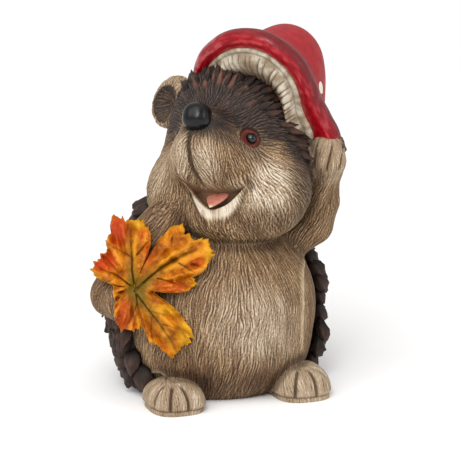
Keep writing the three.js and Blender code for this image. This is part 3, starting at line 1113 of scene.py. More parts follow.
# %% Cut the skin at the fur
FACE_SPLIT, BODY_SPLIT = 7, 6  # where a plane halves the corners of each part, in millimetres
keep_value(skin, "facing", upright(skin))
middles = numbers(skin.data.polygons, "center", 3) / MM
middle_part = nearest_mass(middles)
of_face = np.isin(middle_part, ("head", "ear"))
left_side = np.where(of_face, in_head(middles)[:, 0] > FACE_SPLIT, middles[:, 0] > BODY_SPLIT)
region = np.where(of_face, 0, np.where(middle_part == "trunk", 2, 4)) + left_side
REGIONS = (  # each piece's name, and the CAD nodes that it replaces
    ("fur_face_right", ("head", "snout", "lower_jaw", "ear_right")),
    ("fur_face_left", ()),
    ("fur_trunk_right", ("trunk",)),
    ("fur_trunk_left", ()),
    ("fur_limbs_right", ("arm_right", "paw_right", "foot_right")),
    ("fur_limbs_left", ("arm_left", "paw_left", "foot_left")),
)
for number, (name, nodes) in enumerate(REGIONS):
    if number < len(REGIONS) - 1:
        piece = split_off(skin, np.flatnonzero(region == number), name)
        region = region[region != number]
    else:
        piece = skin
        piece.name = piece.data.name = name
    # the normals of the whole skin are kept, so that no seam shows between its pieces
    whole = numbers(piece.data.attributes["facing"].data, "vector", 3)
    piece.data.normals_split_custom_set_from_vertices(whole.tolist())
    piece.data.attributes.remove(piece.data.attributes["facing"])
    dressed(piece, fur, "cast_fur", *nodes)

# %% The bed under the spines
BODY_BED, HEAD_BED = 7.5, 3.0  # how far the bed swells under each coat, in millimetres
bed_finish = Finish("spine_bed", roughness=0.7, Specular_IOR_Level=0.25)
clay = bed_finish.noise(150.0, 4.0)
bed_finish.set(Base_Color=bed_finish.mixed(clay.step(0.35, 0.7), paint(18, 14, 12), paint(50, 38, 32)))
bed_finish.bump(clay, 0.6, 0.002)
bed_places, bed_facing = corners(bed), upright(bed)
bed_kind = nearest_mass(bed_places)
deep = np.where(bed_kind == "trunk", behind(bed_places, BODY_SPINES), behind(bed_places, HEAD_SPINES))
full = np.where(bed_kind == "trunk", BODY_BED, np.where(bed_kind == "head", HEAD_BED, 0.0))
full = full * ease(masses["ear"](bed_places), 0.5, 6)  # it stays down beside the ear
swollen = bed_places + bed_facing * (full * ease(deep, UNDER, 14))[:, None]
swollen[:, 2] = np.maximum(swollen[:, 2], np.minimum(bed_places[:, 2], 0.0))
move_corners(bed, swollen)
dressed(bed, bed_finish, "spine_paint")

# %% [markdown]
# ## Turned shapes
#
# The cap and the leaf both grow out from one middle: a toadstool is a solid of revolution, and a
# maple leaf is a disc whose edge runs in and out. Both start in the same way. One corner is extruded
# along a half outline, the outline is spun once round, and then every corner is moved out to the
# true edge, as a modeller thumbs a thrown bowl out of round.

# %% Spin an outline


def spun(name, outline, steps):
    """Extrudes one corner along an outline of (radius, height) in millimetres, and spins it about Z."""
    bpy.ops.mesh.primitive_plane_add(size=0.001, location=(0, 0, 0))
    obj = only(bpy.context.object)
    obj.name = obj.data.name = name
    bpy.ops.object.mode_set(mode="EDIT")
    bpy.ops.mesh.select_mode(type="VERT")
    bpy.ops.mesh.select_all(action="SELECT")
    bpy.ops.mesh.merge(type="CENTER")
    last = Vector((0, 0, 0))
    for place, (radius, height) in enumerate(outline):
        here = Vector((radius, 0, height)) * MM
        if place == 0:
            bpy.ops.transform.translate(value=here)
        else:
            bpy.ops.mesh.extrude_vertices_move(TRANSFORM_OT_translate={"value": here - last})
        last = here
    bpy.ops.mesh.select_all(action="SELECT")
    bpy.ops.mesh.spin(steps=steps, angle=math.tau, center=(0, 0, 0), axis=(0, 0, 1))
    bpy.ops.mesh.select_all(action="SELECT")
    bpy.ops.mesh.remove_doubles(threshold=1e-6)
    bpy.ops.mesh.normals_make_consistent(inside=False)
    bpy.ops.object.mode_set(mode="OBJECT")
    bpy.ops.object.shade_smooth()
    print(name, "spun:", len(obj.data.vertices), "corners")
    return obj


def polar(obj):
    """The bearing in degrees, the radius and the height of a spun mesh's corners."""
    x, y, z = corners(obj).T
    return np.degrees(np.arctan2(y, x)), np.hypot(x, y), z


def turned_from(bearing, middle):
    """How far a bearing is turned from a middle one, from -180 to 180 degrees."""
    return (bearing - middle + 180) % 360 - 180


def on_circle(bearing, radius, height):
    """The places at these bearings, radii and heights."""
    a = np.radians(bearing)
    return np.stack([np.cos(a) * radius, np.sin(a) * radius, height], 1)


def reach_at(table, bearing, soften=0.0):
    """An edge's reach at each bearing, from a table of (bearing, reach), softened over some degrees."""
    turns, reaches = np.float64(table).T
    step, margin = 0.5, 120  # half a degree, and 60 degrees of it on each side
    every = np.arange(-180, 180, step)
    values = np.interp(every, turns, reaches)
    if soften:
        spread = np.arange(-margin, margin + 1) * step
        weights = np.exp(-((spread / soften) ** 2))
        wrapped = np.concatenate([values[-margin:], values, values[:margin]])
        values = np.convolve(wrapped, weights / weights.sum(), "same")[margin:-margin]
    return np.interp(bearing, every, values, period=360)


# %% [markdown]
# ## The toadstool cap
#
# On the real figure the cap is a fat glossy red roll round a satin red dome, with brown wash left in
# the crease between them and a few cream dots. It leans back and to one side, and the dome leans a
# little more than the brim. The roll is pushed out of round and dented here and there, because it
# was rolled by hand.

# %% The cap's frame and how it leans
CAP_AT = np.float32((35.2, -11.4, 225.9))
BRIM = 58.0
CAP_AXIS = unit(np.float32((0.704, 0.503, 0.503)))
DOME_AXIS = unit(np.float32((0.65, 0.52, 0.56)))
CAP_SIDE = unit(np.cross(CAP_AXIS, np.float32((0.1, -0.77, 0.63))))
CAP_FRONT = np.cross(CAP_SIDE, CAP_AXIS)
BRIM_REACH = (
    (-180, 54), (-113, 54), (-75, 53), (-40, 57), (-20, 59), (0, 55), (26, 47), (50, 43), (66, 46),
    (82, 56), (100, 58), (140, 55), (180, 54),
)
LOW_SIDE = 62  # the bearing of the side that hangs over the paw


def leaned(bearing, radius, height):
    """Stands the turned cap on the head: the brim takes its reach and the dome its lean."""
    stretch = reach_at(BRIM_REACH, bearing, soften=9.0) / BRIM
    out = radius * (1 + (stretch - 1) * ease(radius, 20, 50))
    # on the low side the roll is fatter, its inner edge is pressed in, and the dome sags over it
    out = out + 9.0 * bell(turned_from(bearing, 88), 44) * ease(radius, 50, 62)
    out = out - 3.4 * bell(bearing - LOW_SIDE, 46) * ease(radius, 30, 48) * ease(56 - radius, 0, 6)
    low_side = bell(turned_from(bearing, LOW_SIDE), 46)
    out = out + 6.5 * low_side * ease(height, 8, 15) * ease(68 - height, 0, 42)
    lean = ease(height, 6, 40)[:, None]
    axis = unit(CAP_AXIS * (1 - lean) + DOME_AXIS * lean)
    a = np.radians(bearing)
    ring_place = CAP_FRONT * (np.cos(a) * out)[:, None] + CAP_SIDE * (np.sin(a) * out)[:, None]
    return CAP_AT + axis * height[:, None] + ring_place


# %% Spin and thumb the cap
CAP_OUTLINE = (
    (0, 5), (30, 5), (45, 3.4), (50.4, -3), (54.5, -6.4), (60, -7.4), (64.2, -4.2), (65.5, 1),
    (63.6, 5.5), (60.6, 8), (57.6, 9.4), (54, 12.5), (48.5, 18), (42.5, 25), (36.8, 36), (31.4, 48),
    (24.4, 60), (14.5, 69), (6, 73.6), (0, 74.6),
)
ROLL_MIDDLE = (58, 1)  # the radius and the height of the middle of the roll
cap = spun("toadstool_cap", curve_through(CAP_OUTLINE, 110), 220)
bearing, radius, height = polar(cap)
on_roll = bell(radius - 60, 9.0) * ease(22 - height, 0, 8)
waves = 0.5 * np.sin(np.radians(bearing * 5 + 40)) + 0.35 * np.sin(np.radians(bearing * 11 + 10))
folds = bell(turned_from(bearing, 43), 6.0) * 1.1 + bell(turned_from(bearing, 65), 5.0) * 0.8
radius_out = radius + on_roll * (0.5 * waves - folds)
height_out = height + on_roll * 0.4 * np.sin(np.radians(bearing * 7))
places = leaned(bearing, radius_out, height_out)
move_corners(cap, places)
keep_value(cap, "roll", ease(radius, 40, 50) * ease(10.5 - height, 0, 2.5))
crease = ease(height, -1.0, 3.5) * ease(24 - height, 0, 13) * ease(radius, 34, 44)
# the crease's brown also covers the lower outer side of the roll, most of all over the low front
lower_roll = bell(bearing - 8, 62) * ease(radius, 60.5, 64) * ease(height, -7, -1.5)
keep_value(cap, "crease", np.maximum(crease, 0.9 * lower_roll))
keep_value(cap, "around", on_circle(bearing, radius, height) / 10)
# along the roll run long streaks, brush marks in the paint and painted sheen, so this place changes slowly
# that way
round_roll = np.arctan2(height - ROLL_MIDDLE[1], radius - ROLL_MIDDLE[0])
keep_value(cap, "drawn", on_circle(bearing, 6, round_roll * 2.6))
print("cap spans", np.round(places.min(0), 1), np.round(places.max(0), 1))

# %% Dots on the dome
DOTS = (  # bearing, height and size
    (57, 26.5, 5.2), (178, 24, 3.2), (128, 44, 4.6), (-140, 36, 4.8), (-90, 58, 3.6), (100, 18, 3.4),
    (-175, 58, 3.8), (150, 14, 3.0), (-112, 18, 3.4),
)
FAR_OFF, FLATTER = 2.0, 0.72
dots = np.full(len(places), FAR_OFF, np.float32)  # 1 on a dot's edge
for dot_bearing, dot_height, size in DOTS:
    wide = np.radians(turned_from(bearing, dot_bearing)) * radius
    off = np.hypot(wide / size, (height - dot_height) / (size * FLATTER))
    dots = np.minimum(dots, np.where(height > 9, off, FAR_OFF))
keep_value(cap, "dot", dots)
print("dots:", len(DOTS))

# %% The cap's red paint
red = Finish("cap_red", roughness=0.4, Specular_IOR_Level=0.22, Coat_Roughness=0.12)
on_roll_wire, crease_wire = red.kept("roll"), red.kept("crease")
around_wire = red.kept_colour("around")
brushed = red.node("TexNoise", Vector=around_wire, Scale=1.6, Detail=4.0)
fine_brush = red.node("TexNoise", Vector=around_wire, Scale=6.0, Detail=3.0)
streaky = red.node("TexNoise", Vector=red.kept_colour("drawn"), Scale=1.0, Detail=3.0)
dome_red = red.mixed(brushed.step(0.3, 0.75), paint(146, 22, 30), paint(168, 30, 38))
# the lighter red streaks along the roll are partly brush marks and partly painted sheen
roll_red = red.mixed(streaky.step(0.3, 0.7), paint(124, 0, 12), paint(168, 2, 26))
dot_edge = red.kept("dot") + (fine_brush - 0.5) * 0.3
cap_colour = red.layered(
    dome_red,
    (on_roll_wire, roll_red),
    (crease_wire * (brushed * 0.5 + 0.62), paint(88, 34, 36)),
    (fine_brush.step(0.55, 0.8) * 0.2, paint(96, 20, 24)),
    (1 - dot_edge.step(0.95, 1.05), paint(232, 222, 206)),
)
red.set(Base_Color=cap_colour, Roughness=(on_roll_wire * -0.12) + fine_brush * 0.12 + 0.42)
red.set(Coat_Weight=on_roll_wire * streaky.step(0.42, 0.66) * (1 - crease_wire) * 0.9)
red.bump(fine_brush * 0.5 + brushed + on_roll_wire * streaky, 0.4, 0.0014)
dressed(cap, red, "cap_gloss", "cap")

# %% [markdown]
# ## The gills under the brim
#
# The underside is a soft padded ring with pleats pinched into it, cream on the swells and brown in
# the folds, and a thin grey line runs round just inside the red. The pleats aren't even: a tool was
# pressed in by hand, so each fold has its own width.

# %% Spin and pleat the gills
GILL_OUTLINE = (
    (0, -1), (20, -2), (30, -4.5), (37, -7.2), (43, -8), (47.4, -6.6), (48.6, -5.4), (50, -6.4),
    (52, -5.6), (52.4, -3), (47, 2.4), (30, 4.6), (0, 4.6),
)
PLEATS, PLEAT_DEPTH = 46, 2.6
gills = spun("gill_ring", curve_through(GILL_OUTLINE, 72), 480)
bearing, radius, height = polar(gills)
chance = np.random.default_rng(5)
folds_at = np.sort((np.arange(PLEATS) + chance.uniform(-0.28, 0.28, PLEATS)) * 360 / PLEATS - 180)
phase = np.interp(bearing, folds_at, np.arange(PLEATS), period=360)
# the last pleat lies across the seam of the bearings
gap, past_last = folds_at[0] - folds_at[-1] + 360, bearing - folds_at[-1]
phase = np.where(bearing < folds_at[0], PLEATS - 1 + (past_last + 360) / gap, phase)
phase = np.where(bearing > folds_at[-1], PLEATS - 1 + past_last / gap, phase)
swell_up = np.abs(np.sin(np.pi * (phase + 0.15 * np.sin(radius / 5)))) ** 0.6
pleated = ease(radius, 12, 26) * ease(48.4 - radius, 0, 2.5) * ease(2 - height, 0, 2)
height_out = height + pleated * (1.6 - PLEAT_DEPTH * swell_up)
padded = 9.5 * bell(bearing - LOW_SIDE, 50) + 2.5
height_out = height_out - padded * bell(radius - 33, 12.5) * ease(2 - height, 0, 3)
places = leaned(bearing, radius, height_out)
move_corners(gills, places)
fold_dark = ease(0.62 - swell_up, 0, 0.5) * pleated
lip_line = bell(radius - 48.9, 0.75) * ease(0 - height, 0, 2)
keep_value(gills, "fold", np.clip(fold_dark, 0, 1))
keep_value(gills, "lip", lip_line)
keep_value(gills, "inner", ease(44 - radius, 0, 14))
print("gills:", len(folds_at), "folds")

# %% The gills' paint
pleat_paint = Finish("gill_cream", roughness=0.55)
smudge = pleat_paint.noise(120.0, 4.0)
streak = pleat_paint.noise(420.0, 2.0)
gill_colour = pleat_paint.layered(
    pleat_paint.mixed(smudge.step(0.35, 0.65), paint(142, 122, 96), paint(204, 194, 174)),
    (pleat_paint.kept("inner") * (smudge * 0.6 + 0.5), paint(108, 82, 56)),
    (pleat_paint.kept("fold") * (smudge * 0.6 + 0.6), paint(86, 60, 38)),
    (pleat_paint.kept("lip") * 0.6, paint(104, 96, 86)),
    (streak.step(0.6, 0.8) * 0.35, paint(120, 96, 70)),
)
pleat_paint.set(Base_Color=gill_colour)
pleat_paint.bump(streak, 0.3, 0.0008)
dressed(gills, pleat_paint, "gill_paint", "cap_gills")

# %% [markdown]
# ## The maple leaf
#
# The leaf was pressed in clay too: four fat lobes with nibbled, curled edges, veins scored with a
# point, and a puffed field between every two veins. It starts as a spun lens. Every corner then goes
# out along its bearing to the leaf's edge, and the veins are pressed in as grooves with a soft dip
# beside them.

# %% The leaf's edge and veins
LEAF_AT = np.float32((-80, -43, 94))
leaf_turn = Matrix.Rotation(math.radians(-20), 3, "Z") @ Matrix.Rotation(math.radians(-12), 3, "X")
LEAF_AXES = np.float32(leaf_turn)
LEAF_EDGE = (
    (-180, 14), (-143, 16), (-131, 21), (-116, 31), (-106, 35), (-95, 32), (-90, 35), (-78, 30), (-74, 44),
    (-69, 46), (-66, 53), (-62, 60), (-47, 60), (-39, 58), (-35, 51), (-28, 35), (-26, 32), (-20, 18),
    (-13, 15), (-9, 28), (-5, 40), (0, 44), (3, 47), (8, 44), (11, 51), (16, 57), (21, 64), (29, 65),
    (33, 66), (38, 57), (43, 58), (47, 56), (52, 59), (57, 54), (61, 45), (62.8, 34), (64.6, 12),
    (66.6, 31), (69, 37), (76, 45), (84, 50), (93, 50), (105, 56), (111, 51), (114, 44), (119, 44),
    (122, 40), (126, 34), (142, 34), (150, 36), (158, 35), (164, 32), (170, 22), (175, 15), (180, 14),
)
# Each vein runs through places on the leaf, across and up from its hub, with its groove's width.
VEINS = (
    (1.1, (1, 0), (-1, 12), (-1, 21), (-2, 32), (-3, 44)),
    (1.2, (1, -3), (12, 7), (22, 15), (31, 20), (38, 24), (48, 28)),
    (0.8, (-2, 1), (-9, 6), (-16, 10), (-25, 13)),
    (0.9, (2, -5), (3, -13), (-1, -22), (-6, -30)),
    (1.0, (3, -6), (12, -18), (20, -28), (28, -40), (32, -48)),
    (0.7, (34, 18), (40, 14.5), (46, 10.6)),
    (0.7, (43.5, 17), (48, 16), (53, 14)),
    (0.7, (18, 6.5), (26, 4.5), (36, 1)),
    (0.7, (2.5, 24), (7, 29), (12, 35)),
    (0.7, (-1, 22), (-8, 26), (-18, 31)),
    (0.6, (29, 37), (28.5, 29)),
    (0.5, (-22, 2.5), (-15.5, 5.5)),
    (0.5, (12, -18), (17, -19), (24, -21)),
    (0.5, (20, -28), (27, -29), (34, -32)),
    (0.5, (14, -22), (13, -33), (16, -44)),
    (0.5, (10, 36), (16, 33), (22, 30)),
)
MAIN_VEIN = 0.85  # a vein wider than this has a soft dip and an olive stain beside it
print("leaf:", len(LEAF_EDGE), "places on its edge,", len(VEINS), "veins")

# %% Spin the lens and draw out the lobes
LENS_RADIUS, LENS_HALF, THICK = 50, 3, 5.0
lens = [(t, 1.0) for t in np.linspace(0, 0.93, 66)]
lens += [(0.965, 0.86), (0.988, 0.6), (1.0, 0.0), (0.99, -0.6)]
lens += [(t, -1.0) for t in np.linspace(0.96, 0, 14)]
leaf = spun("leaf_sheet", [(t * LENS_RADIUS, side * LENS_HALF) for t, side in lens], 540)
bearing, radius, height = polar(leaf)
share, face_side = radius / LENS_RADIUS, height / LENS_HALF
edge = reach_at(LEAF_EDGE, bearing, soften=0.8)
chance = np.random.default_rng(3)
rim_place = on_circle(bearing, edge, 0 * edge).astype(np.float32)
teeth = np.abs(grain(rim_place, 3.6)) + 0.6 * grain(rim_place + 9, 1.8)
edge = edge - np.clip(teeth, -0.6, 2.2) * 1.9 * ease(edge, 20, 34) + 1.2
a, b = on_circle(bearing, share, 0 * share).T[:2] * edge  # across and up, on the leaf
gouge_depth, olive, scored = (np.zeros(len(a), np.float32) for _ in range(3))
for width, *points in VEINS:
    off, where = off_path(np.stack([a, b], 1).astype(np.float32), points)
    taper = 1 - 0.6 * where
    gouge_depth = np.maximum(gouge_depth, bell(off, width * 0.9) * taper * width * 1.5)
    scored = np.maximum(scored, bell(off, width * 0.75) * taper)
    if width > MAIN_VEIN:
        gouge_depth = np.maximum(gouge_depth, bell(off, 5.0) * 0.9 * taper)
        olive = np.maximum(olive, bell(off, 4.5) * (1 - 0.8 * where))
curl = 0.2 * a - 0.002 * a * a - 0.0035 * b * b
rim = ease(share, 0.72, 1.0)
ripple = sum(np.sin(np.radians(bearing * k + chance.uniform(0, 360))) for k in (9, 16, 23)) / 3
puff = 1.5 * np.maximum(np.sin(np.pi * share), 0) ** 0.8
place_3d = np.stack([a, 0 * a, b], 1).astype(np.float32)
knead = grain(place_3d, 5.0) * 0.6 + grain(place_3d, 2.2) * 0.25
fan_place = on_circle(bearing, 18, share * 5)[:, (0, 2, 1)].astype(np.float32)
fan = grain(fan_place + 3, 1.9) * ease(share, 0.2, 0.7)  # ridges that run out to the edge
front = face_side > -0.5
pressed = 2.1 * puff - 2.3 * gouge_depth + 1.6 * knead + 1.9 * fan - 1.9
outward = np.where(front, pressed, 0) + rim * (3.2 * ripple - 0.4)
outward = outward + 1.7 * ease(share, 0.88, 0.98) - 0.9 * bell(share - 0.83, 0.06)
depth_in = THICK * (1 - face_side) / 2
hub_lift = 3.5 * bell(np.hypot(a, b), 14)
places = np.stack([a, depth_in - curl - outward - hub_lift + 0.4, b], 1)
move_corners(leaf, places @ LEAF_AXES.T + LEAF_AT)
print("leaf spans", np.round(places.min(0), 1), np.round(places.max(0), 1))


# %% Spray the leaf
def patches(a, b, spots):
    """How much paint the leaf gets from soft sprays of (place, reach, strength)."""
    total = np.zeros(len(a), np.float32)
    for (x, y), (wide, high), strength in spots:
        total = total + strength * ease(1.4 - np.hypot((a - x) / wide, (b - y) / high), 0, 1.0)
    return np.clip(total, 0, 1)


RED_PAINT = (
    ((-12, 44), (9, 12), 1.0), ((-20, 19), (9, 8), 1.0), ((-6, -23), (8, 13), 0.9),
    ((29, 0), (11, 5), 0.7), ((47, 19), (7, 6), 0.7), ((12, 25), (4, 9), 0.7),
    ((-27, 14), (5, 5), 0.6), ((-13, 33), (5, 6), 0.4), ((22, -50), (6, 6), 0.3),
    ((8, 38), (5, 5), 0.5),
)
YELLOW_PAINT = (
    ((41, -36), (8, 16), 1.0), ((2, 48), (11, 4), 0.9), ((58, 26), (6, 12), 0.9),
    ((-30, 9), (5, 6), 0.8), ((47, -1), (5, 8), 0.7), ((28, -17), (16, 4), 0.8),
    ((40, 46), (6, 5), 0.7), ((36, -10), (14, 4), 0.3), ((14, -52), (8, 5), 0.3),
    ((52, 38), (6, 5), 0.7), ((-22, 2), (5, 3), 0.7), ((-14, -33), (4, 4), 0.4),
)
BLUSH_PAINT = (
    ((31, -1), (7, 3.5), 1.0), ((48, 20), (5, 5), 0.6), ((-21, 15), (5, 4), 0.5),
    ((-7, -18), (5, 7), 0.5), ((-8, 25), (6, 7), 0.5), ((-10, 12), (5, 6), 0.35),
    ((13, 26), (3, 6), 0.4),
)
hub = bell(np.hypot(a - 3, b + 2), 9.0) * 0.8
zones = {
    "scored": np.where(front, scored, 0),
    "olive": np.clip(olive * 0.9 + hub, 0, 1),
    "crimson": patches(a, b, RED_PAINT),
    "yellow": np.maximum(patches(a, b, YELLOW_PAINT), 0.55 * ease(share, 0.93, 1.0)),
    "blush": patches(a, b, BLUSH_PAINT),
    "kneaded": np.where(front, 0.5 + 0.2 * (1.6 * knead + 1.9 * fan), 0.5),
    "flat": np.stack([a, b, 0 * a], 1) / 10,
}
for name, values in zones.items():
    keep_value(leaf, name, values)
print("sprayed", len(zones), "zones on", len(a), "corners")

# %% The leaf's paint
maple = Finish("leaf_paint", roughness=0.4, Specular_IOR_Level=0.16)
flat = maple.kept_colour("flat")
cloud = maple.node("TexNoise", Vector=flat, Scale=1.3, Detail=5.0, Roughness=0.6)
fleck = maple.node("TexNoise", Vector=flat, Scale=7.0, Detail=4.0)
kneaded = maple.kept("kneaded")
leaf_colour = maple.layered(
    maple.mixed(cloud.step(0.35, 0.65), paint(148, 74, 0), paint(200, 118, 2)),
    (fleck.step(0.45, 0.75) * 0.45, paint(126, 58, 2)),
    (maple.kept("yellow") * (cloud + 0.35), paint(214, 158, 26)),
    (maple.kept("crimson") * (fleck * 0.7 + 0.55), paint(176, 50, 8)),
    (maple.kept("olive") * (cloud * 0.5 + 0.6), paint(98, 88, 14)),
    (maple.kept("blush") * fleck.step(0.45, 0.75) * 0.7, paint(206, 120, 44)),
    # dark paint in the valleys and light paint on the ridges: partly dry-brushed paint, partly painted
    # shade and painted highlight
    ((1 - kneaded.step(0.05, 0.45)) * 0.4, paint(120, 46, 0)),  # the valleys
    (kneaded.step(0.58, 1.0) * 0.5, paint(236, 160, 44)),  # the ridges
    (maple.kept("scored"), paint(78, 42, 12)),
)
maple.set(Base_Color=leaf_colour, Roughness=fleck * 0.3 + 0.2)
maple.bump(fleck + cloud * 0.5, 0.35, 0.0012)
dressed(leaf, maple, "leaf_paint", "maple_leaf")

# %% [markdown]
# ## The nose, the eyes and the tongue
#
# These are the smooth glossy spots that bring the face to life. The nose is a rounded thimble, the
# eyes are black beads let into painted sockets, and the tongue is a pointed tab with a cream tip.


# %% Shape three small pieces
def ball(name, centre, radii, segments=48, rings=32):
    """A sphere, and where its corners would be as an egg in the head's own frame."""
    bpy.ops.mesh.primitive_uv_sphere_add(segments=segments, ring_count=rings, radius=MM, location=(0, 0, 0))
    obj = bpy.context.object
    obj.name = obj.data.name = name
    bpy.ops.object.shade_smooth()
    return obj, corners(obj) * np.float32(radii) + np.float32(centre)


NOSE_AT, NOSE_SIZE, SQUARER = (-0.6, -73.6, 2.6), (10.6, 12.0, 10.8), 2.5
nose, q = ball("nose_tip", (0, 0, 0), (1, 1, 1))
squared = q / np.maximum((np.abs(q) ** SQUARER).sum(1, keepdims=True) ** (1 / SQUARER), 1e-6)
q = squared * np.float32(NOSE_SIZE)
q[:, 0] *= 1 + 0.06 * np.clip(-q[:, 2] / 12, -1, 1)
q[:, 1] += 0.35 * bell(q[:, 0], 1.6) * ease(-q[:, 1], 4, 9) * ease(-q[:, 2], -6, 2)
move_corners(nose, from_head(q + np.float32(NOSE_AT)))
gloss = Finish("nose_black", roughness=0.26, Specular_IOR_Level=0.32)
grit_wire = gloss.noise(260.0, 4.0)
gloss.set(Base_Color=gloss.mixed(grit_wire.step(0.4, 0.75), paint(8, 8, 10), paint(20, 20, 23)))
gloss.set(Roughness=grit_wire * 0.3 + 0.12)
gloss.bump(grit_wire, 0.2, 0.0008)
dressed(nose, gloss, "nose_paint", "nose")

BEAD_SIZE, BEAD_IN = (4.4, 4.2, 4.4), (0, 1.6, 0)  # its front stands proud of the socket
bead = Finish("bead_black", roughness=0.08, Specular_IOR_Level=0.5)
depth_wire = bead.noise(900.0, 1.0)
bead.set(Base_Color=bead.mixed(depth_wire, paint(8, 7, 8), paint(24, 18, 17)))
for name, eye in zip(("eye_left", "eye_right"), eyes):
    obj, q = ball(name + "_bead", (0, 0, 0), BEAD_SIZE)
    move_corners(obj, from_head(q + eye + np.float32(BEAD_IN)))
    dressed(obj, bead, "eye_bead", name)

TONGUE_AT = np.float32((6.8, -32, -39.5))
tongue, q = ball("tongue_tab", (0, 0, 0), (1, 1, 1))
length = (1 - q[:, 2]) / 2  # 0 at the root and 1 at the tip
wide = 9.6 * (1 - length**1.7) + 2.0 * length
tab = np.stack([q[:, 0] * wide - 1.5 * length, q[:, 1] * 3.0 - 12 * length**1.4, -19.0 * length + 1.0], 1)
tab[:, 1] += 0.9 * bell(tab[:, 0], 1.2) * ease(-q[:, 1], 0, 0.6) * (1 - length)
move_corners(tongue, from_head(tab + TONGUE_AT))
editing(tongue, lambda: bpy.ops.mesh.normals_make_consistent(inside=False))
keep_value(tongue, "tip", ease(length, 0.86, 0.96))
salmon = Finish("tongue_salmon", roughness=0.38)
wet = salmon.noise(300.0, 3.0)
tongue_colour = salmon.mixed(wet.step(0.3, 0.7), paint(186, 112, 94), paint(206, 136, 116))
salmon.set(Base_Color=salmon.mixed(salmon.kept("tip"), tongue_colour, paint(214, 200, 170)))
salmon.bump(wet, 0.3, 0.0006)
dressed(tongue, salmon, "tongue_paint", "tongue")

# %% [markdown]
# ## The spines
#
# On a cast hedgehog the spines aren't needles, because needles would snap off in the mould. They are
# blunt overlapping petals of clay, each pressed on with its tip lifted, and a few pointed tufts over
# the brow. One petal is modelled from a ball and set hundreds of times, in staggered rows that run
# down the back. Each copy keeps its own tone, and its place on the unwrap of the skin.

# %% Model one petal and one tuft
LUMP, OFF_FLOOR = 3.4, 0.3  # millimetres
PATCH = 0.0015  # the half width of one petal's part of the unwrap


def petal_shape(name, long, wide, thick, point, ribs):
    """A flat drop of clay with its root at the origin, its tip on +Y and its back on +Z, in millimetres."""
    bpy.ops.mesh.primitive_uv_sphere_add(segments=12, ring_count=7, radius=MM, location=(0, 0, 0))
    obj = bpy.context.object
    obj.name = obj.data.name = name
    x, z, y = corners(obj).T
    y = -y
    t = (y + 1) / 2
    bearing = np.arctan2(z, x)
    rib = 1 + ribs * np.cos(6 * bearing)
    breadth = np.sqrt(np.clip(1 - y * y, 0, 1))
    drop = np.sin(np.pi * np.clip(t, 0, 1) ** 0.8) ** 0.75 * (1 - point * t)
    shape = np.where(breadth > 0, drop / np.maximum(breadth, 1e-3), 0)
    across = x * shape * wide / 2 * rib
    back = z * shape * thick / 2 * rib * np.where(z < 0, 0.6, 1)
    lift = 0.16 * long * t * t
    move_corners(obj, np.stack([across, t * long, back + lift], 1))
    faces = [tuple(face.vertices) for face in obj.data.polygons]
    on_rib = np.clip((rib - 1) / max(ribs, 1e-3) * 0.5 + 0.5, 0, 1) * (z > -0.2)
    values = {"along": t, "rib": on_rib}
    places = corners(obj)
    bpy.data.objects.remove(obj)
    return places, faces, values


def planted(name, shape, roots, ways, normals, sizes, tones, lumps=0.9):
    """Sets a copy of a shape at every root and joins the copies in one mesh."""
    corner_places, faces, values = shape
    side = unit(np.cross(ways, normals))
    up = np.cross(side, ways)
    axes = np.stack([side, ways, up], 1) * sizes[:, :, None]
    places = roots[:, None, :] + np.einsum("vk,nkd->nvd", corner_places, axes)
    count, each = places.shape[:2]
    # the faces at the two ends are triangles, so they are filled up to four with -1
    faces = np.array([face + (-1,) * (4 - len(face)) for face in faces])
    copies = (faces[None] + np.arange(count)[:, None, None] * each).reshape(-1, 4)
    ends = np.tile(faces[:, 3] < 0, count)
    face_list = [tuple(face[:3]) if end else tuple(face) for face, end in zip(copies.tolist(), ends)]
    mesh = bpy.data.meshes.new(name)
    mesh.from_pydata((places.reshape(-1, 3) * MM).tolist(), [], face_list)
    obj = bpy.data.objects.new(name, mesh)
    scene.collection.objects.link(obj)
    for key, value in values.items():
        keep_value(obj, key, np.tile(value, count))
    keep_value(obj, "tone", np.repeat(tones, each))
    uv = np.array([net_place(root) for root in roots])
    patch = corner_places[:, :2] / np.abs(corner_places[:, :2]).max() * PATCH
    corner_uv = (uv[:, None, :] + patch[None]).reshape(-1, 2)
    layer = mesh.uv_layers.new(name="OFBake")
    order = numbers(mesh.loops, "vertex_index", 1).astype(int).ravel()
    layer.data.foreach_set("uv", corner_uv[order].astype(np.float32).ravel())
    editing(obj, lambda: bpy.ops.mesh.normals_make_consistent(inside=False))
    bpy.ops.object.shade_smooth()
    # no two lumps of clay are alike, and none goes through the floor
    here = corners(obj)
    here = here + upright(obj) * (lumps * grain(here, LUMP))[:, None]
    here[:, 2] = np.maximum(here[:, 2], OFF_FLOOR)
    move_corners(obj, here)
    print(name, count, "copies,", len(mesh.polygons), "faces")
    return obj


def net_place(root):
    """A root's place on the unwrapped net."""
    face = net_tree.find_nearest(Vector(root * MM))[2]
    return net_uv[net_first[face]]


PETAL = petal_shape("petal", 1.0, 1.0, 1.0, 0.12, 0.15)
TUFT = petal_shape("tuft", 1.0, 1.0, 1.0, 0.6, 0.12)
print("petal:", len(PETAL[0]), "corners,", len(PETAL[1]), "faces")


# %% Find the roots
def struck(mass, start, rays, near, far):
    """Where rays from a place leave a mass for the last time."""
    reach = np.linspace(near, far, 160, dtype=np.float32)
    hits = []
    for group in np.array_split(rays, max(1, len(rays) // 200)):  # a few rays at a time
        p = start + group[:, None, :] * reach[None, :, None]
        inside = mass(p.reshape(-1, 3)).reshape(len(group), -1) < 0
        last = inside.shape[1] - 1 - np.argmax(inside[:, ::-1], axis=1)
        hits.append(start + group * reach[last][:, None])
    return np.vstack(hits)


def facing_of(mass, p):
    """Which way a mass faces at each point of its surface."""
    slope = np.stack([mass(p + axis) - mass(p - axis) for axis in np.eye(3, dtype=np.float32) * 0.5], 1)
    return unit(slope)


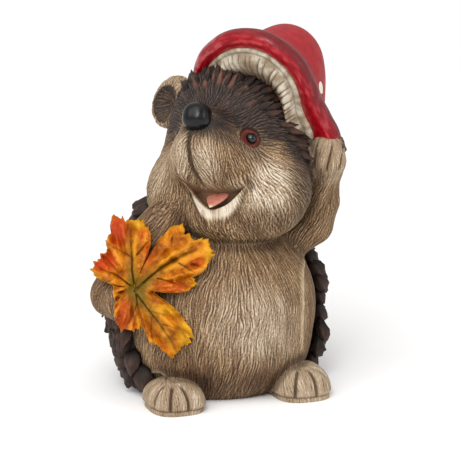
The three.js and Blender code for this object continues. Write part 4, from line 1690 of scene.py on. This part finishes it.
def rows_round(rings, spacing, radius):
    """Unit rays in staggered rings: each ring has a height angle, and holds rays about a spacing apart."""
    rays = []
    for number, angle in enumerate(rings):
        count = max(5, int(round(math.tau * radius * math.cos(angle) / spacing)))
        turns = (np.arange(count) + 0.5 * (number % 2)) * math.tau / count
        turns = turns + chance.uniform(-0.12, 0.12, count) * math.tau / count
        level = [np.cos(turns) * np.cos(angle), np.sin(turns) * np.cos(angle)]
        rays.append(np.stack([*level, 0 * turns + np.sin(angle)], 1))
    return np.vstack(rays).astype(np.float32)


def lifted(way, out, low, high, sway=0.0):
    """Lifts each petal's tip by some degrees, and turns it a little to one side."""
    lift = np.radians(chance.uniform(low, high, len(way)))[:, None]
    tilted = way * np.cos(lift) + out * np.sin(lift)
    if sway:
        tilted = tilted + np.cross(way, out) * chance.uniform(-sway, sway, (len(way), 1))
    return unit(tilted)


def sizes(count, *ranges):
    """A width, a length and a thickness for each petal, each drawn from its range."""
    return np.stack([chance.uniform(low, high, count) for low, high in ranges], 1)


# %% Set the petals on the back
chance = np.random.default_rng(21)
TRUNK_MIDDLE = np.float32((0, 2, 78))
FLOOR_GAP = 1.5
BESIDE = ("arm_left", "arm_right", "foot_left", "foot_right")
rays = rows_round(np.radians(np.arange(-46, 80, 7.6)), 11.2, 76)
roots = struck(trunk_mass, TRUNK_MIDDLE, rays, 20, 130)
clear = np.min([masses[name](roots) for name in BESIDE], axis=0) > -3
in_head_coat = head_mass(in_head(roots)) < -2
wanted = (behind(roots, BODY_SPINES) > 1.5) & (roots[:, 2] > 12) & clear & ~in_head_coat
roots = roots[wanted]
out = facing_of(trunk_mass, roots)
down = np.float32((0, 0.0, -1)) + out * np.float32((0.12, 0.12, 0))
way = lifted(unit(laid_flat(down, out) + np.float32((0, 0.05, 0))), out, 4, 22, sway=0.3)
edge_row = 1 - ease(behind(roots, BODY_SPINES), 4, 24)
raised = 8.0 - 1.5 * edge_row + 2.5 * edge_row * ease(roots[:, 0], 20, 55)
size = sizes(len(roots), (12.5, 18.5), (17, 25), (10, 14))
size[:, 2] += 3.5 * edge_row
start = roots + out * (raised - 3.0)[:, None] - way * 4
tip_low = start[:, 2] + way[:, 2] * size[:, 1]
to_floor = np.maximum((start[:, 2] - FLOOR_GAP) / np.maximum(-way[:, 2], 0.2), 8)
size[:, 1] = np.where(tip_low < FLOOR_GAP, to_floor, size[:, 1])
tone = chance.uniform(0, 1, len(roots))
body_spines = planted("body_petals", PETAL, start, way, out, size, tone, lumps=1.2)
low, high = corners(body_spines).min(0), corners(body_spines).max(0)
print("body petals span", np.round(low, 1), np.round(high, 1))

# %% Set the petals on the back of the head
INTO_CAP = 3 * MM  # no petal's root is deeper in the cap than this


def head_struck(rays):
    """Where rays from the middle of the head leave it, in the head's frame and in the world's."""
    spots = struck(head_mass, np.float32((0, 0, 0)), rays, 20, 90)
    return spots, from_head(spots)


def head_lie(spots, droop=0.0):
    """Which way the head faces at each spot, and which way leads back from the nose over it."""
    out = facing_of(head_mass, spots)
    back = unit(spots - NOSE_TIP) + np.float32((0, 0, -droop))
    return out @ HEAD_AXES.T, unit(laid_flat(back, out)) @ HEAD_AXES.T


spots, world_spots = head_struck(rows_round(np.radians(np.arange(-60, 76, 9.5)), 8.6, 56))
kept = (behind(world_spots, HEAD_SPINES) > 0.5) & (trunk_mass(world_spots) > 0)
kept &= masses["ear"](world_spots) > 1
cap_tree = tree_of(cap)
for number, spot in enumerate(world_spots):
    place, outwards = cap_tree.find_nearest(Vector(spot * MM))[:2]
    kept[number] &= (Vector(spot * MM) - place).dot(outwards) > -INTO_CAP
spots, world_spots = spots[kept], world_spots[kept]
out, way = head_lie(spots, droop=0.5)
way = lifted(way, out, 8, 18)
size = sizes(len(spots), (10.5, 14), (13, 18), (5, 7.5))
tone = chance.uniform(0, 1, len(spots))
start = world_spots - way * 3 + out * 0.5
head_spines = planted("head_petals", PETAL, start, way, out, size, tone)

# %% Set the pointed tufts over the brow
brow = []
for row, angle in enumerate(range(36, 84, 7)):
    for turn in np.arange(-96, 100, 10.5 * 40 / max(angle, 40)):
        brow.append((angle + chance.uniform(-2, 2), turn + (row % 2) * 4.5 + chance.uniform(-2, 2)))
angle, turn = np.radians(np.float32(brow)).T
rays_local = np.stack([np.sin(angle) * np.sin(turn), -np.cos(angle), np.sin(angle) * np.cos(turn)], 1)
spots, world_spots = head_struck(rays_local.astype(np.float32))
under_cap = (world_spots - CAP_AT) @ CAP_AXIS
near_eye = np.linalg.norm(spots - eyes[0], axis=1) < 16
kept = (under_cap > -30) & (under_cap < 2) & ~near_eye & (masses["ear"](world_spots) > 2)
kept &= np.degrees(angle) > 37 + 12 * (np.abs(np.degrees(turn)) / 80) ** 2
spots, world_spots = spots[kept], world_spots[kept]
out, way = head_lie(spots)
way = lifted(way, out, 1, 9, sway=0.15)
count = len(spots)
size = sizes(count, (5.5, 8.5), (13, 20), (3.6, 5.4))
tone = np.where(chance.uniform(0, 1, count) < 0.12, 1.3, chance.uniform(0, 0.7, count))
print("tufts:", count)

# %% Add the rosy scales in the middle of the brow
SCALES = (  # where each one is aimed, across and up
    (17, 17), (11, 21), (6, 25), (0, 27), (-7, 26), (-12, 25), (14, 27), (8, 34), (0, 36), (-8, 35),
    (3, 29), (-4, 31),
)
BURIED, TIP_UP = 1.4, 0.12
spots, scale_spots = head_struck(unit(np.float32([(x, -42, z) for x, z in SCALES])))
scale_out, scale_way = head_lie(spots)
# one row for each scale: its width, its length, its thickness and its tone
drawn = chance.uniform((4.5, 15, 3.2, 1.2), (8, 22, 4.4, 1.6), (len(SCALES), 4))
world_spots = np.vstack([world_spots, scale_spots - BURIED * scale_out])
way = np.vstack([way, unit(scale_way + TIP_UP * scale_out)])
out = np.vstack([out, scale_out])
size = np.vstack([size, drawn[:, :3]])
tone = np.append(tone, drawn[:, 3])
brow_tufts = planted("brow_tufts", TUFT, world_spots - out * 0.4, way, out, size, tone, lumps=0.35)

# %% The spines' paint
horn = Finish("spine_paint", roughness=0.6, Specular_IOR_Level=0.25)
tone_wire, along_wire, rib_wire = horn.kept("tone"), horn.kept("along"), horn.kept("rib")
speckle = horn.noise(240.0, 4.0)
brushed = horn.noise(90.0, 3.0)
rosy = tone_wire.step(1.1, 1.5) * along_wire.step(0.15, 0.6) * brushed.step(0.35, 0.6)
spine_colour = horn.layered(
    horn.mixed(tone_wire, paint(36, 26, 22), paint(54, 40, 34)),
    (brushed.step(0.5, 0.75) * 0.5, paint(74, 52, 44)),
    (rib_wire * along_wire * speckle.step(0.32, 0.66), paint(104, 76, 64)),
    (along_wire.step(0.0, 0.6) * -0.8 + 0.8, paint(14, 11, 10)),  # the roots are dark
    (rosy * (speckle * 0.7 + 0.2), paint(132, 84, 70)),
)
horn.set(Base_Color=spine_colour)
horn.bump(speckle + rib_wire * 0.4, 0.5, 0.001)
dressed(body_spines, horn, "spine_paint", "spines_body")
dressed(head_spines, horn, "spine_paint", "spines_head")
dressed(brow_tufts, horn, "spine_paint")

# %% Measure the object
low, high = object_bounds()
